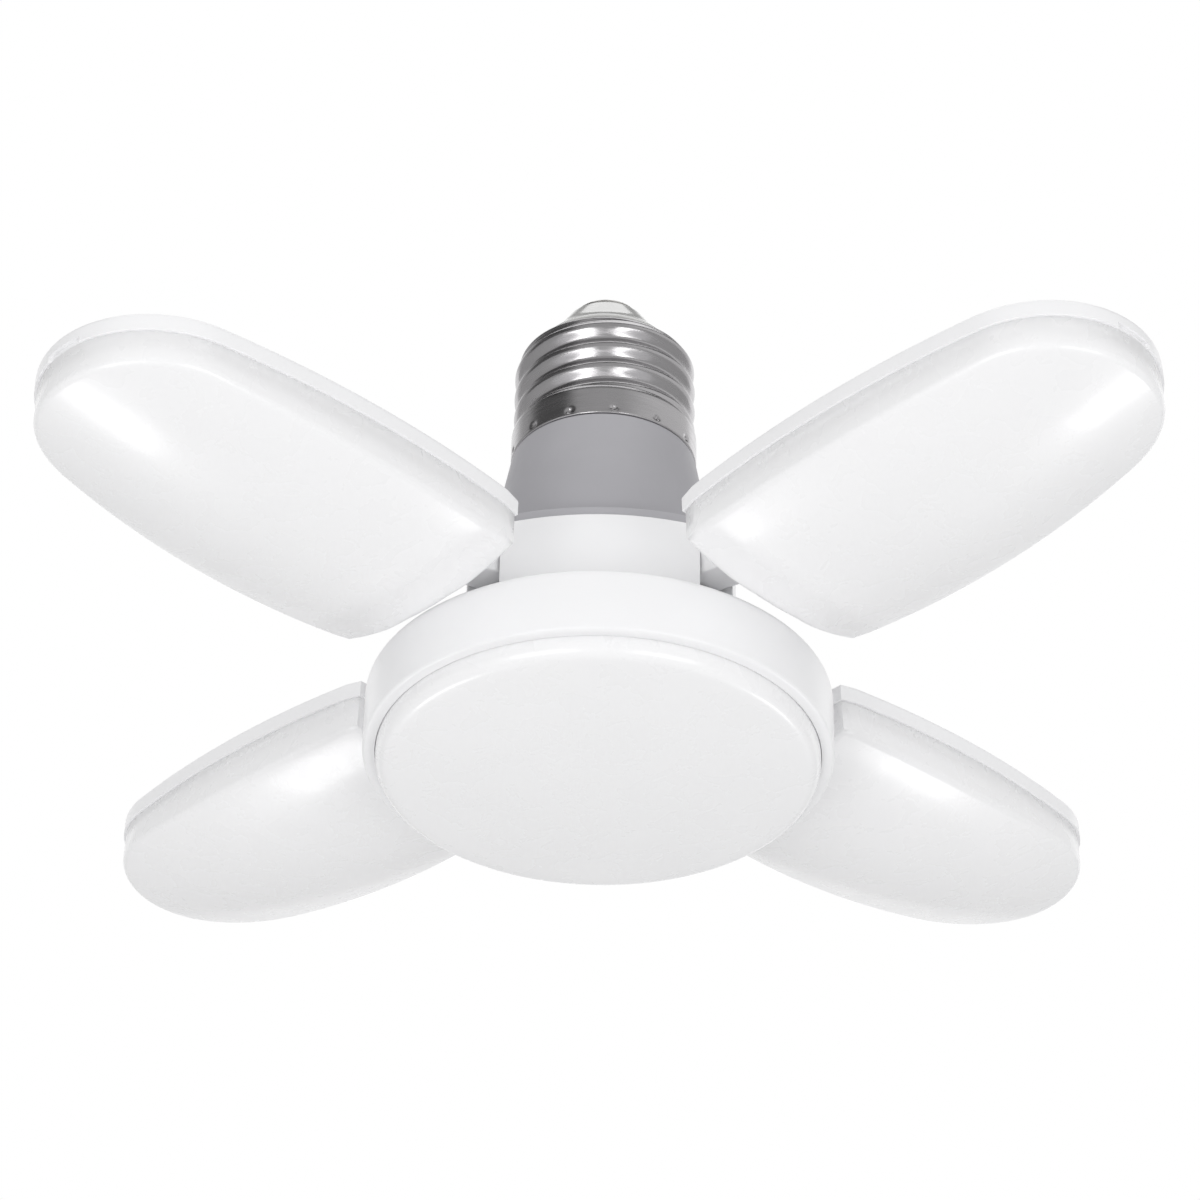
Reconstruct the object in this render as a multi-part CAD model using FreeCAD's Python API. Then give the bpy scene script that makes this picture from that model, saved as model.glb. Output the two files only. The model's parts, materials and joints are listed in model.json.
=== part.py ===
import FreeCAD
import Part

import math
import os

# Folding four-leaf ceiling lamp on a 27 mm Edison screw cap.
# Millimetres, +Z up. The lamp hangs from its cap: the origin is on the lamp's axis, in the plane
# of the cap's lower edge. The leaves stand on the four diagonals between X and Y.

V = FreeCAD.Vector
X_AXIS = V(1, 0, 0)
Y_AXIS = V(0, 1, 0)
Z_AXIS = V(0, 0, 1)
ORIGIN = V(0, 0, 0)

# ---- Flat sides of the round pieces ------------------------------------------------------------
DISC_SIDES = 60
NECK_SIDES = 40
SMALL_ROUND_SIDES = 8         # small posts, screws and holes
SIDE_STEPS = 6                # straight runs along each side of a leaf's plan
NOSE_STEPS = 10               # and round its outer end
END_STEPS = 6                 # and across its inner end

# ---- Screw cap ---------------------------------------------------------------------------------
# The collar and the thread's crests set the sizes; the rolled thread itself is surface detail.
THREAD_CREST_R = 13.15
THREAD_TOP_Z = 17.2
COLLAR_R = 13.4
COLLAR_HEIGHT = 4.6
SHELL_BORE_R = 11.4
SHELL_LIP_R = 10.9            # where the shell curls in over the insulator
SHELL_LIP_Z = 19.3
SHELL_WALL = 0.5
INSULATOR_TOP_R = 5.4
INSULATOR_TOP_Z = 26.7
CONTACT_R = 4.8
CONTACT_TOP_Z = 28.1

# ---- Neck --------------------------------------------------------------------------------------
NECK_TOP_R = 13.3
NECK_KNEE_R = 15.5            # where the taper ends
NECK_KNEE_Z = -12.0
NECK_BOTTOM_R = 15.9
NECK_WALL = 1.8
SPIGOT_R = 11.2               # the part of the neck that the cap is crimped on
SPIGOT_BORE_R = 9.4
SPIGOT_HEIGHT = 12.0
FLANGE_THICKNESS = 1.8
FLANGE_SETBACK = 0.7          # from the hub's outline

# ---- Hub ---------------------------------------------------------------------------------------
HUB_TOP_Z = -21.8
HUB_BOTTOM_Z = -40.2
HUB_HALF_WIDTH = 19.0         # axis to the middle of a wall
HUB_WALL_HALF_LENGTH = 13.65  # middle of a wall to the hinge slot beside it
HUB_WALL_BULGE = 0.8          # how far the middle of a wall stands proud of its ends
HUB_CAVITY_R = 12.4
SLOT_WIDTH = 6.4
SLOT_INNER_R = 13.3
SLOT_BOTTOM_Z = -37.5
STOP_LEDGE_R = 20.0           # the ledge that an open leaf's arm comes down on
STOP_LEDGE_Z = -30.5

# ---- Hinges ------------------------------------------------------------------------------------
HINGE_R = 17.5                # lamp's axis to hinge axis
HINGE_Z = -26.0
KNUCKLE_R = 3.5
ARM_WIDTH = 5.4
PIN_R = 1.5
PIN_RUNNING_CLEARANCE = 0.05
PIN_LENGTH = 12.4
WASHER_R = 3.2
WASHER_THICKNESS = 0.4
KEEPER_CLEARANCE = 0.1        # flange keeper to pin, and to the sides of its groove

# ---- Centre lamp -------------------------------------------------------------------------------
DISC_R = 32.4
DISC_TOP_Z = -40.2
DISC_RIM_Z = -49.8
DISC_TOP_BEVEL = 0.9
DISC_RIM_BEVEL = 0.4
DISC_WALL = 1.6
DISC_BACK_THICKNESS = 2.0
DIFFUSER_R = 30.6
DIFFUSER_WALL = 1.4
DIFFUSER_SIDE = 2.4            # rim to the crown's edge
DIFFUSER_DEPTH = 4.5          # rim to the middle of the crown
DIFFUSER_EDGE_ROUNDING = 1.7
DIFFUSER_SKIRT = 3.4          # snap skirt inside the housing
DISC_BOARD_R = 27.0
BOARD_THICKNESS = 1.0

# ---- Leaves ------------------------------------------------------------------------------------
LEAF_INNER_R = 31.6           # lamp's axis to the leaf's inner end, leaf level
LEAF_TOP_Z = -30.2            # back of a level leaf
LEAF_LENGTH = 64.0
LEAF_HALF_WIDTH = 18.3
LEAF_WIDEST_U = 22.0          # from the inner end
LEAF_SIDE_ARC_R = 170.0
LEAF_CORNER_U = 2.6           # the inner corners are cut off this far along the side
LEAF_CORNER_HALF_WIDTH = 16.4
TRAY_HEIGHT = 2.8
TRAY_PLATE = 1.5
TRAY_WALL = 1.4
TRAY_BEVEL = 0.6
COVER_SETBACK = 0.35          # cover to tray outline, the step that shows round the leaf
COVER_WALL = 1.4
COVER_LIP = 1.0
COVER_DEPTH = 12.3            # tray back to the crown's lowest point
COVER_CROWN_U = 22.0          # where that point lies
COVER_ACROSS_R = 36.0         # crown's radius across the leaf
COVER_ALONG_R = 160.0         # crown's radius along the leaf
COVER_ROUNDING = 2.0           # rim to where the rounded edge ends, both ways
COVER_SPINE = (14.0, 46.0)    # the crown flattens towards this stretch of the middle line
PRY_SLOT_WIDTH = 5.0
PRY_SLOT_HEIGHT = 0.9
PRY_SLOT_DEPTH = 0.7
LEAF_BOARD_SETBACK = 3.0
SPINE_END_U = 13.0            # the arm's spine runs out into the tray's back here

# Leaf name, direction of its outer end in degrees from +X, and how far it is raised from level.
LEAVES = (
    ("front_left", 225.0, 0.5),
    ("front_right", 315.0, 3.3),
    ("back_right", 45.0, 3.4),
    ("back_left", 135.0, 2.4),
)

# ---- Electrical pieces -------------------------------------------------------------------------
LED_LENGTH = 3.5
LED_WIDTH = 2.8
LED_HEIGHT = 0.8
LEAF_LED_ROWS = (-9.0, 0.0, 9.0)
LEAF_LED_FIRST_U = 12.0
LEAF_LED_PITCH_U = 10.0
LEAF_LED_COUNTS = (4, 5, 4)
DISC_LED_RINGS = ((9.0, 6), (24.0, 18))
DRIVER_WIDTH = 21.0
DRIVER_TOP_Z = -5.0
DRIVER_BOTTOM_Z = -39.0
DRIVER_THICKNESS = 1.2
GUIDE_TOP_Z = -28.0           # of the ribs that hold the driver board
LEAD_R = 0.7

# ---- Screws ------------------------------------------------------------------------------------
SCREW_R = 1.0
SCREW_HEAD_R = 1.9
SCREW_HEAD_HEIGHT = 1.1
HUB_SCREW_R = 1.25
HUB_SCREW_HEAD_R = 2.4
HUB_SCREW_HEAD_HEIGHT = 1.5
HUB_SCREW_CIRCLE_R = 15.4
HUB_SCREW_LENGTH = 9.0
LEAF_SCREW_PLACES = ((6.5, -5.0), (6.5, 5.0), (57.0, 0.0))
DISC_SCREW_CIRCLE_R = 21.0
DISC_SCREW_ANGLES = (60.0, 180.0, 300.0)


# ---- Helpers -----------------------------------------------------------------------------------
def cylinder(radius, z_low, z_high, x=0.0, y=0.0):
    return Part.makeCylinder(radius, z_high - z_low, V(x, y, z_low), Z_AXIS)


def block(x_span, y_span, z_span):
    """A box between two values on each axis."""
    size = [high - low for low, high in (x_span, y_span, z_span)]
    return Part.makeBox(*size, V(x_span[0], y_span[0], z_span[0]))


def line(start, end):
    return Part.LineSegment(start, end).toShape()


def arc(start, middle, end):
    return Part.Arc(start, middle, end).toShape()


def turned(points):
    """A solid of revolution about Z from a closed outline of (radius, z) corners."""
    corners = [V(r, 0, z) for r, z in points]
    wire = Part.makePolygon(corners + corners[:1])
    return Part.Face(wire).revolve(ORIGIN, Z_AXIS, 360)


def around(shape, angle):
    """A copy of the shape turned about the lamp's axis."""
    copy = shape.copy()
    copy.rotate(ORIGIN, Z_AXIS, angle)
    return copy


def quarter_turns(shape, first_angle=0.0):
    return [around(shape, first_angle + 90.0 * k) for k in range(4)]


def post(radius, z_low, z_high, x=0.0, y=0.0):
    """A small upright round post, drawn with a few flat sides."""
    corners = []
    for k in range(SMALL_ROUND_SIDES + 1):
        angle = 2 * math.pi * k / SMALL_ROUND_SIDES
        corners.append(V(x + radius * math.cos(angle), y + radius * math.sin(angle), z_low))
    return Part.Face(Part.makePolygon(corners)).extrude(V(0, 0, z_high - z_low))


def pan_head_screw(radius, head_radius, head_height, length):
    """A screw that points up: its head's seat is at z = 0 and its shank rises from there."""
    return post(head_radius, -head_height, 0).fuse(post(radius, 0, length))


def inset(points, setback):
    """A closed plan with every side moved inwards by the setback, parallel to itself."""
    moved = []
    for before, point, after in zip(points[-1:] + points[:-1], points, points[1:] + points[:1]):
        normals = [V(-run.y, run.x, 0).normalize() for run in (point - before, after - point)]
        mitre = normals[0] + normals[1]
        moved.append(point + mitre * (setback / mitre.dot(normals[0])))
    return moved


def level(points, z):
    return [V(point.x, point.y, z) for point in points]


def patch(corners):
    """The flat face through four corners, or the two triangles that they make."""
    distinct = [corner for i, corner in enumerate(corners)
                if corner.distanceToPoint(corners[i - 1]) > 1e-6]
    if len(distinct) < 3:
        return []
    outlines = [distinct]
    if len(distinct) == 4:
        normal = (distinct[1] - distinct[0]).cross(distinct[2] - distinct[0]).normalize()
        if abs((distinct[3] - distinct[0]).dot(normal)) > 1e-6:
            outlines = [distinct[:3], distinct[2:] + distinct[:1]]
    return [Part.Face(Part.makePolygon(outline + outline[:1])) for outline in outlines]


def skinned(rings, capped=True):
    """A solid whose skin runs from ring to ring of points, with a flat face on an open end."""
    faces = []
    for lower, upper in zip(rings, rings[1:]):
        for k in range(len(lower)):
            after = (k + 1) % len(lower)
            faces += patch([lower[k], lower[after], upper[after], upper[k]])
    for end in (rings[0][::-1], rings[-1]):
        if capped and max(point.y for point in end) - min(point.y for point in end) > 1e-6:
            faces.append(Part.Face(Part.makePolygon(end + end[:1])))
    shell = Part.makeShell(faces)
    shell.sewShape()
    solid = Part.makeSolid(shell)
    return solid if solid.Volume > 0 else solid.reversed()


def faceted(points, sides):
    """A round piece from an outline of (radius, z) corners, drawn with flat sides.

    The outline starts and ends on the axis, or else it closes on itself.
    """
    turns = [2 * math.pi * k / sides for k in range(sides)]
    rings = [[V(r * math.cos(turn), r * math.sin(turn), z) for turn in turns] for r, z in points]
    on_axis = points[0][0] == 0
    return skinned(rings if on_axis else rings + rings[:1], capped=False)


# ---- Screw cap ---------------------------------------------------------------------------------
def screw_shell():
    """The rolled metal shell: plain collar, threaded length and curled-in top lip."""
    bore_top = THREAD_TOP_Z - 0.2
    lip_bore_r = SHELL_LIP_R - SHELL_WALL
    return turned([
        (SHELL_BORE_R, 0), (COLLAR_R, 0), (COLLAR_R, COLLAR_HEIGHT),
        (THREAD_CREST_R, COLLAR_HEIGHT + 0.4), (THREAD_CREST_R, THREAD_TOP_Z),
        (SHELL_LIP_R, SHELL_LIP_Z), (lip_bore_r, SHELL_LIP_Z), (SHELL_BORE_R, bore_top),
    ])


def cap_insulator():
    """The cone of glassy insulation between the shell and the contact."""
    seat_r = SHELL_BORE_R - 0.1
    seat_z = THREAD_TOP_Z - 2.4
    rim_r = SHELL_LIP_R - SHELL_WALL - 0.05
    cone = faceted([
        (0, seat_z), (seat_r, seat_z), (seat_r, THREAD_TOP_Z - 0.4), (rim_r, SHELL_LIP_Z - 0.2),
        (rim_r, SHELL_LIP_Z + 0.9), (INSULATOR_TOP_R, INSULATOR_TOP_Z), (0, INSULATOR_TOP_Z),
    ], NECK_SIDES)
    return cone.cut(post(LEAD_R, seat_z, INSULATOR_TOP_Z))


def centre_contact():
    """The soldered contact button on the cap's end."""
    shoulder_z = (INSULATOR_TOP_Z + CONTACT_TOP_Z) / 2
    return faceted([
        (0, INSULATOR_TOP_Z), (CONTACT_R, INSULATOR_TOP_Z), (CONTACT_R, shoulder_z),
        (CONTACT_R - 0.9, CONTACT_TOP_Z), (0, CONTACT_TOP_Z),
    ], NECK_SIDES // 2)


# ---- Neck and hub ------------------------------------------------------------------------------
def hub_outline(setback=0.0):
    """The hub's four bulging walls, joined across the corners, as a face at z = 0."""
    half = HUB_WALL_HALF_LENGTH
    reach = HUB_HALF_WIDTH - setback
    end = HUB_HALF_WIDTH - HUB_WALL_BULGE - setback
    edges = []
    for k in range(4):
        turn = FreeCAD.Rotation(Z_AXIS, 90.0 * k)
        wall = [turn.multVec(V(x, y, 0)) for x, y in ((-half, -end), (0, -reach), (half, -end))]
        next_start = FreeCAD.Rotation(Z_AXIS, 90.0 * (k + 1)).multVec(V(-half, -end, 0))
        edges += [arc(*wall), line(wall[2], next_start)]
    return Part.Face(Part.Wire(edges))


def hinge_slot(inner_r, z_low, z_high):
    """The slot on the +X side that an arm swings in; it is turned onto the diagonals."""
    half = SLOT_WIDTH / 2
    return block((inner_r, HUB_HALF_WIDTH * 1.5), (-half, half), (z_low, z_high))


def pin_groove(half_width, z_low, z_high):
    """The groove beside a hinge slot that a pin is dropped into from above."""
    half = PIN_LENGTH / 2
    return block((HINGE_R - half_width, HINGE_R + half_width), (-half, half), (z_low, z_high))


def neck_sleeve():
    """The tapered neck with the spigot for the cap and the flange that closes the hub."""
    flange_top = HUB_TOP_Z + FLANGE_THICKNESS
    inner_knee = NECK_KNEE_R - NECK_WALL
    sleeve = faceted([
        (SPIGOT_BORE_R, SPIGOT_HEIGHT), (SPIGOT_R, SPIGOT_HEIGHT), (SPIGOT_R, 0), (NECK_TOP_R, 0),
        (NECK_KNEE_R, NECK_KNEE_Z), (NECK_BOTTOM_R, flange_top), (NECK_BOTTOM_R, HUB_TOP_Z),
        (NECK_BOTTOM_R - NECK_WALL - 1.7, HUB_TOP_Z), (inner_knee, NECK_KNEE_Z),
        (NECK_TOP_R - NECK_WALL - 0.2, -NECK_WALL), (SPIGOT_BORE_R, -NECK_WALL),
    ], NECK_SIDES)
    flange = hub_outline(FLANGE_SETBACK).extrude(V(0, 0, FLANGE_THICKNESS))
    flange.translate(V(0, 0, HUB_TOP_Z))
    body = sleeve.fuse(flange.cut(cylinder(HUB_CAVITY_R, HUB_TOP_Z, flange_top)))
    keeper = pin_groove(PIN_R - KEEPER_CLEARANCE, HINGE_Z + PIN_R + KEEPER_CLEARANCE, HUB_TOP_Z)
    body = body.fuse(quarter_turns(keeper, 45.0))
    slot = hinge_slot(SLOT_INNER_R, HINGE_Z, flange_top)
    slot_past_neck = slot.cut(cylinder(NECK_BOTTOM_R, HUB_TOP_Z, flange_top))
    return body.cut(quarter_turns(slot_past_neck, 45.0)).removeSplitter()


def hub_housing():
    """The square hub: four walls, the lugs on both sides of each hinge slot and the cavity."""
    body = hub_outline().extrude(V(0, 0, HUB_TOP_Z - HUB_BOTTOM_Z))
    body.translate(V(0, 0, HUB_BOTTOM_Z))
    body = body.cut(cylinder(HUB_CAVITY_R, HUB_BOTTOM_Z, HUB_TOP_Z))
    deep_slot = hinge_slot(STOP_LEDGE_R, SLOT_BOTTOM_Z, HUB_TOP_Z)
    ledge_slot = hinge_slot(SLOT_INNER_R, STOP_LEDGE_Z, HUB_TOP_Z)
    half_pin = PIN_LENGTH / 2
    bed = Part.makeCylinder(PIN_R, PIN_LENGTH, V(HINGE_R, -half_pin, HINGE_Z), Y_AXIS)
    cuts = [deep_slot, ledge_slot, bed, pin_groove(PIN_R, HINGE_Z, HUB_TOP_Z)]
    for cut in cuts:
        body = body.cut(quarter_turns(cut, 45.0))
    body = body.cut(hub_screw_holes(HUB_SCREW_R))
    return body.fuse(board_guides()).removeSplitter()


def board_guides():
    """Two grooved ribs in the cavity that the driver board slides into."""
    half = DRIVER_WIDTH / 2
    guides = []
    for side in (-1, 1):
        near, far = sorted((side * (half - 0.9), side * (HUB_CAVITY_R - 0.2)))
        rib = block((near, far), (-DRIVER_THICKNESS - 1.2, 1.2), (HUB_BOTTOM_Z, GUIDE_TOP_Z))
        guides.append(rib.cut(driver_board()).common(cylinder(HUB_CAVITY_R + 0.3, HUB_BOTTOM_Z, 0)))
    return guides


def hub_screw_holes(radius):
    """Four holes for the screws that come up through the centre lamp's back into the hub."""
    hole = post(radius, HUB_BOTTOM_Z - DISC_BACK_THICKNESS,
                HUB_BOTTOM_Z + HUB_SCREW_LENGTH - DISC_BACK_THICKNESS, HUB_SCREW_CIRCLE_R)
    return quarter_turns(hole)


def housing_screws():
    screw = pan_head_screw(HUB_SCREW_R, HUB_SCREW_HEAD_R, HUB_SCREW_HEAD_HEIGHT, HUB_SCREW_LENGTH)
    screw.translate(V(HUB_SCREW_CIRCLE_R, 0, HUB_BOTTOM_Z - DISC_BACK_THICKNESS))
    return Part.makeCompound(quarter_turns(screw))


# ---- Hinge hardware ----------------------------------------------------------------------------
def hinge_pin(azimuth):
    pin = Part.makeCylinder(PIN_R, PIN_LENGTH, V(HINGE_R, -PIN_LENGTH / 2, HINGE_Z), Y_AXIS)
    return around(pin, azimuth)


def hinge_washers(azimuth):
    """The two friction washers between an arm and the lugs beside it."""
    ring = post(WASHER_R, 0, WASHER_THICKNESS).cut(post(PIN_R + 0.2, 0, WASHER_THICKNESS))
    ring.rotate(ORIGIN, X_AXIS, 90.0)
    washers = []
    for far_side in (SLOT_WIDTH / 2, WASHER_THICKNESS - SLOT_WIDTH / 2):
        washer = ring.copy()
        washer.translate(V(HINGE_R, far_side, HINGE_Z))
        washers.append(washer)
    return around(Part.makeCompound(washers), azimuth)


# ---- Centre lamp -------------------------------------------------------------------------------
def disc_housing():
    """The round white pan: back plate, bevelled side wall and the posts for the board."""
    inner_r = DISC_R - DISC_WALL
    under_back = DISC_TOP_Z - DISC_BACK_THICKNESS
    body = faceted([
        (0, DISC_TOP_Z), (DISC_R - DISC_TOP_BEVEL, DISC_TOP_Z), (DISC_R, DISC_TOP_Z - DISC_TOP_BEVEL),
        (DISC_R, DISC_RIM_Z + DISC_RIM_BEVEL), (DISC_R - DISC_RIM_BEVEL, DISC_RIM_Z),
        (inner_r, DISC_RIM_Z), (inner_r, under_back), (0, under_back),
    ], DISC_SIDES)
    board_top = disc_board_top()
    rod = post(3.2, board_top, under_back, DISC_SCREW_CIRCLE_R)
    hole = post(SCREW_R, board_top, DISC_TOP_Z - 0.6, DISC_SCREW_CIRCLE_R)
    for angle in DISC_SCREW_ANGLES:
        body = body.fuse(around(rod, angle)).cut(around(hole, angle))
    body = body.cut(post(4.0, under_back, DISC_TOP_Z))
    return body.cut(hub_screw_holes(HUB_SCREW_R + 0.15))


def disc_board_top():
    return DISC_TOP_Z - DISC_BACK_THICKNESS - HUB_SCREW_HEAD_HEIGHT - 0.6


def disc_led_board():
    top = disc_board_top()
    low = top - BOARD_THICKNESS
    board = faceted([(0, low), (DISC_BOARD_R, low), (DISC_BOARD_R, top), (0, top)], NECK_SIDES)
    board = board.cut(post(3.0, low, top))
    hole = post(SCREW_R + 0.1, low, top, DISC_SCREW_CIRCLE_R)
    return board.cut([around(hole, angle) for angle in DISC_SCREW_ANGLES])


def disc_board_screws():
    seat = disc_board_top() - BOARD_THICKNESS
    screw = pan_head_screw(SCREW_R, SCREW_HEAD_R, SCREW_HEAD_HEIGHT, 4.2)
    screw.translate(V(DISC_SCREW_CIRCLE_R, 0, seat))
    return Part.makeCompound([around(screw, angle) for angle in DISC_SCREW_ANGLES])


def disc_leds():
    seat = disc_board_top() - BOARD_THICKNESS
    chips = []
    for radius, count in DISC_LED_RINGS:
        chip = block((radius - LED_WIDTH / 2, radius + LED_WIDTH / 2),
                     (-LED_LENGTH / 2, LED_LENGTH / 2), (seat - LED_HEIGHT, seat))
        chips += [around(chip, 360.0 * (k + 0.5) / count) for k in range(count)]
    return Part.makeCompound(chips)


def dome_z(radius):
    """Height of the lens's crown at a distance from the axis."""
    crown = DIFFUSER_DEPTH - DIFFUSER_SIDE
    sphere_r = (DIFFUSER_R ** 2 + crown ** 2) / (2 * crown)
    return DISC_RIM_Z - DIFFUSER_DEPTH + sphere_r - math.sqrt(sphere_r ** 2 - radius ** 2)


def disc_diffuser():
    """The milky lens: a shallow dome with a snap skirt that reaches up into the housing."""
    skirt_top = DISC_RIM_Z + DIFFUSER_SKIRT
    rounding = DIFFUSER_EDGE_ROUNDING
    outside = [(r, dome_z(r)) for r in (0, 13.0, 23.0, DIFFUSER_R - rounding)]
    knuckle = (DIFFUSER_R - 0.3 * rounding, dome_z(DIFFUSER_R) + 0.3 * rounding)
    inner_r = DIFFUSER_R - DIFFUSER_WALL
    return faceted(outside + [
        knuckle, (DIFFUSER_R, dome_z(DIFFUSER_R) + rounding), (DIFFUSER_R, skirt_top),
        (inner_r, skirt_top), (inner_r, DISC_RIM_Z - 0.8), (inner_r - 2.0, dome_z(inner_r) + DIFFUSER_WALL),
        (0, dome_z(0) + DIFFUSER_WALL),
    ], DISC_SIDES)


# ---- Driver ------------------------------------------------------------------------------------
def driver_board():
    half = DRIVER_WIDTH / 2
    return block((-half, half), (-DRIVER_THICKNESS, 0), (DRIVER_BOTTOM_Z, DRIVER_TOP_Z))


def driver_transformer():
    """Ferrite core halves round a wound bobbin, on the board's front."""
    face = -DRIVER_THICKNESS
    core = block((-5.5, 5.5), (face - 7.5, face), (-32.0, -22.0))
    window = block((-3.6, 3.6), (face - 7.5, face - 0.8), (-30.2, -23.8))
    winding = post(3.1, -30.2, -23.8, 0, face - 4.0)
    return core.cut(window).fuse(winding).removeSplitter()


def driver_capacitor():
    """An electrolytic can that lies along the board's back."""
    return post(4.0, -24.0, -12.0, -3.0, 4.0)


def driver_rectifier():
    return block((3.5, 8.0), (0, 2.2), (-30.0, -24.0))


def driver_choke():
    """A drum-core choke under the capacitor."""
    flanges = [post(3.4, low, low + 1.0, -3.0, 3.5) for low in (-33.5, -29.5)]
    return post(2.6, -32.5, -29.5, -3.0, 3.5).fuse(flanges)


def fuse_resistor():
    """The fusible resistor that stands on the board's top edge in the live lead."""
    return post(1.6, DRIVER_TOP_Z + 1.0, DRIVER_TOP_Z + 8.0)


def live_lead():
    """From the fusible resistor up through the insulator to the contact."""
    return post(LEAD_R, DRIVER_TOP_Z + 8.0, INSULATOR_TOP_Z)


def neutral_lead():
    """From the board's shoulder up the spigot's bore and over its end to the shell."""
    x = SPIGOT_BORE_R - 2 * LEAD_R
    over_z = SPIGOT_HEIGHT + 1.5 * LEAD_R
    across = post(LEAD_R, 0, SHELL_BORE_R - 0.1 - x)
    across.rotate(ORIGIN, Y_AXIS, 90.0)
    across.translate(V(x, LEAD_R, over_z))
    return post(LEAD_R, DRIVER_TOP_Z - 2.0, over_z + LEAD_R, x, LEAD_R).fuse(across)


def disc_leads():
    """The pair of stiff wires from the driver down to the centre lamp's board."""
    top = DRIVER_BOTTOM_Z + 4.0
    low = disc_board_top() - BOARD_THICKNESS
    return Part.makeCompound([post(LEAD_R, low, top, x, LEAD_R) for x in (-1.8, 1.8)])


# ---- Leaves ------------------------------------------------------------------------------------
# A leaf is drawn level, with u (local X) out from its inner end, v (local Y) across it and its
# back at z = 0. place_leaf puts it on its hinge.
def leaf_plan():
    """The leaf's plan: straight inner end, cut corners, long side arcs and a round outer end."""
    side_centre_v = LEAF_HALF_WIDTH - LEAF_SIDE_ARC_R
    reach = LEAF_LENGTH - LEAF_WIDEST_U
    nose_r = (LEAF_SIDE_ARC_R ** 2 - side_centre_v ** 2 - reach ** 2)
    nose_r /= 2 * (LEAF_SIDE_ARC_R - reach)
    nose_u = LEAF_LENGTH - nose_r
    lean = math.atan2(-side_centre_v, nose_u - LEAF_WIDEST_U)
    joint_u = nose_u + nose_r * math.cos(lean)

    side = [V(0, LEAF_CORNER_HALF_WIDTH, 0)]
    for k in range(SIDE_STEPS):
        u = LEAF_CORNER_U + (joint_u - LEAF_CORNER_U) * k / SIDE_STEPS
        across = math.sqrt(LEAF_SIDE_ARC_R ** 2 - (u - LEAF_WIDEST_U) ** 2)
        side.append(V(u, side_centre_v + across, 0))
    nose = []
    for k in range(NOSE_STEPS + 1):
        angle = lean - 2 * lean * k / NOSE_STEPS
        nose.append(V(nose_u + nose_r * math.cos(angle), nose_r * math.sin(angle), 0))
    far_side = [V(point.x, -point.y, 0) for point in reversed(side)]
    inner_end = [V(0, LEAF_CORNER_HALF_WIDTH * (2 * k / END_STEPS - 1), 0)
                 for k in range(1, END_STEPS)]
    return list(reversed(side + nose + far_side + inner_end))


def leaf_plate(setback, z_low, z_high):
    plan = level(inset(leaf_plan(), setback), z_low)
    return Part.Face(Part.makePolygon(plan + plan[:1])).extrude(V(0, 0, z_high - z_low))


def hinge_arm():
    """The knuckle, the arm and the spine that spreads the arm's load over the tray's back."""
    hinge_u = HINGE_R - LEAF_INNER_R
    hinge_z = HINGE_Z - LEAF_TOP_Z
    top_slope = math.radians(34.0)
    low_slope = math.radians(13.5)
    top_tangent = V(KNUCKLE_R * math.sin(top_slope), 0, KNUCKLE_R * math.cos(top_slope))
    low_tangent = V(-KNUCKLE_R * math.sin(low_slope), 0, -KNUCKLE_R * math.cos(low_slope))
    centre = V(hinge_u, 0, hinge_z)
    knee_u = hinge_u + 8.0
    knee_z = hinge_z + top_tangent.z - (8.0 - top_tangent.x) * math.tan(top_slope)
    inside = TRAY_WALL * 0.8
    outline = [
        centre, centre + top_tangent, V(knee_u, 0, knee_z), V(SPINE_END_U, 0, 0),
        V(SPINE_END_U, 0, -TRAY_PLATE / 2), V(inside, 0, -TRAY_PLATE / 2),
        V(inside, 0, -TRAY_HEIGHT), V(0, 0, -TRAY_HEIGHT), centre + low_tangent, centre,
    ]
    arm = Part.Face(Part.makePolygon(outline)).extrude(V(0, ARM_WIDTH, 0))
    arm.translate(V(0, -ARM_WIDTH / 2, 0))
    knuckle = Part.makeCylinder(KNUCKLE_R, ARM_WIDTH, centre - V(0, ARM_WIDTH / 2, 0), Y_AXIS)
    gussets = []
    for side in (-1, 1):
        near = side * ARM_WIDTH * 0.3
        far = side * (ARM_WIDTH / 2 + 5.0)
        web = Part.makePolygon([V(-4.5, near, 0), V(0.6, near, 0), V(0.6, far, 0), V(-4.5, near, 0)])
        web = Part.Face(web).extrude(V(0, 0, -TRAY_HEIGHT + 0.4))
        web.translate(V(0, 0, -0.4))
        gussets.append(web)
    bore_start = centre - V(0, ARM_WIDTH / 2, 0)
    bore = Part.makeCylinder(PIN_R + PIN_RUNNING_CLEARANCE, ARM_WIDTH, bore_start, Y_AXIS)
    return arm.fuse([knuckle] + gussets).cut(bore)


def leaf_shell():
    """The leaf's back: a shallow tray with the hinge arm moulded on its inner end."""
    plan = leaf_plan()
    pocket = inset(plan, TRAY_WALL)
    tray = skinned([
        level(pocket, -TRAY_PLATE), level(pocket, -TRAY_HEIGHT), level(plan, -TRAY_HEIGHT),
        level(plan, -TRAY_BEVEL), level(inset(plan, TRAY_BEVEL), 0),
    ])
    half = PRY_SLOT_WIDTH / 2
    pry_slot = block((LEAF_LENGTH - PRY_SLOT_DEPTH, LEAF_LENGTH + 1), (-half, half),
                     (-TRAY_HEIGHT, -TRAY_HEIGHT + PRY_SLOT_HEIGHT))
    holes = [post(SCREW_R, -TRAY_PLATE, -0.35, u, v) for u, v in LEAF_SCREW_PLACES]
    return tray.cut([pry_slot] + holes).fuse(hinge_arm())


def crown_z(u, v):
    """Depth of the cover's skin: an arc across the leaf, swept along a much larger arc."""
    sweep_r = COVER_ALONG_R - COVER_ACROSS_R + math.sqrt(COVER_ACROSS_R ** 2 - v ** 2)
    return -COVER_DEPTH + COVER_ALONG_R - math.sqrt(sweep_r ** 2 - (u - COVER_CROWN_U) ** 2)


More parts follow.
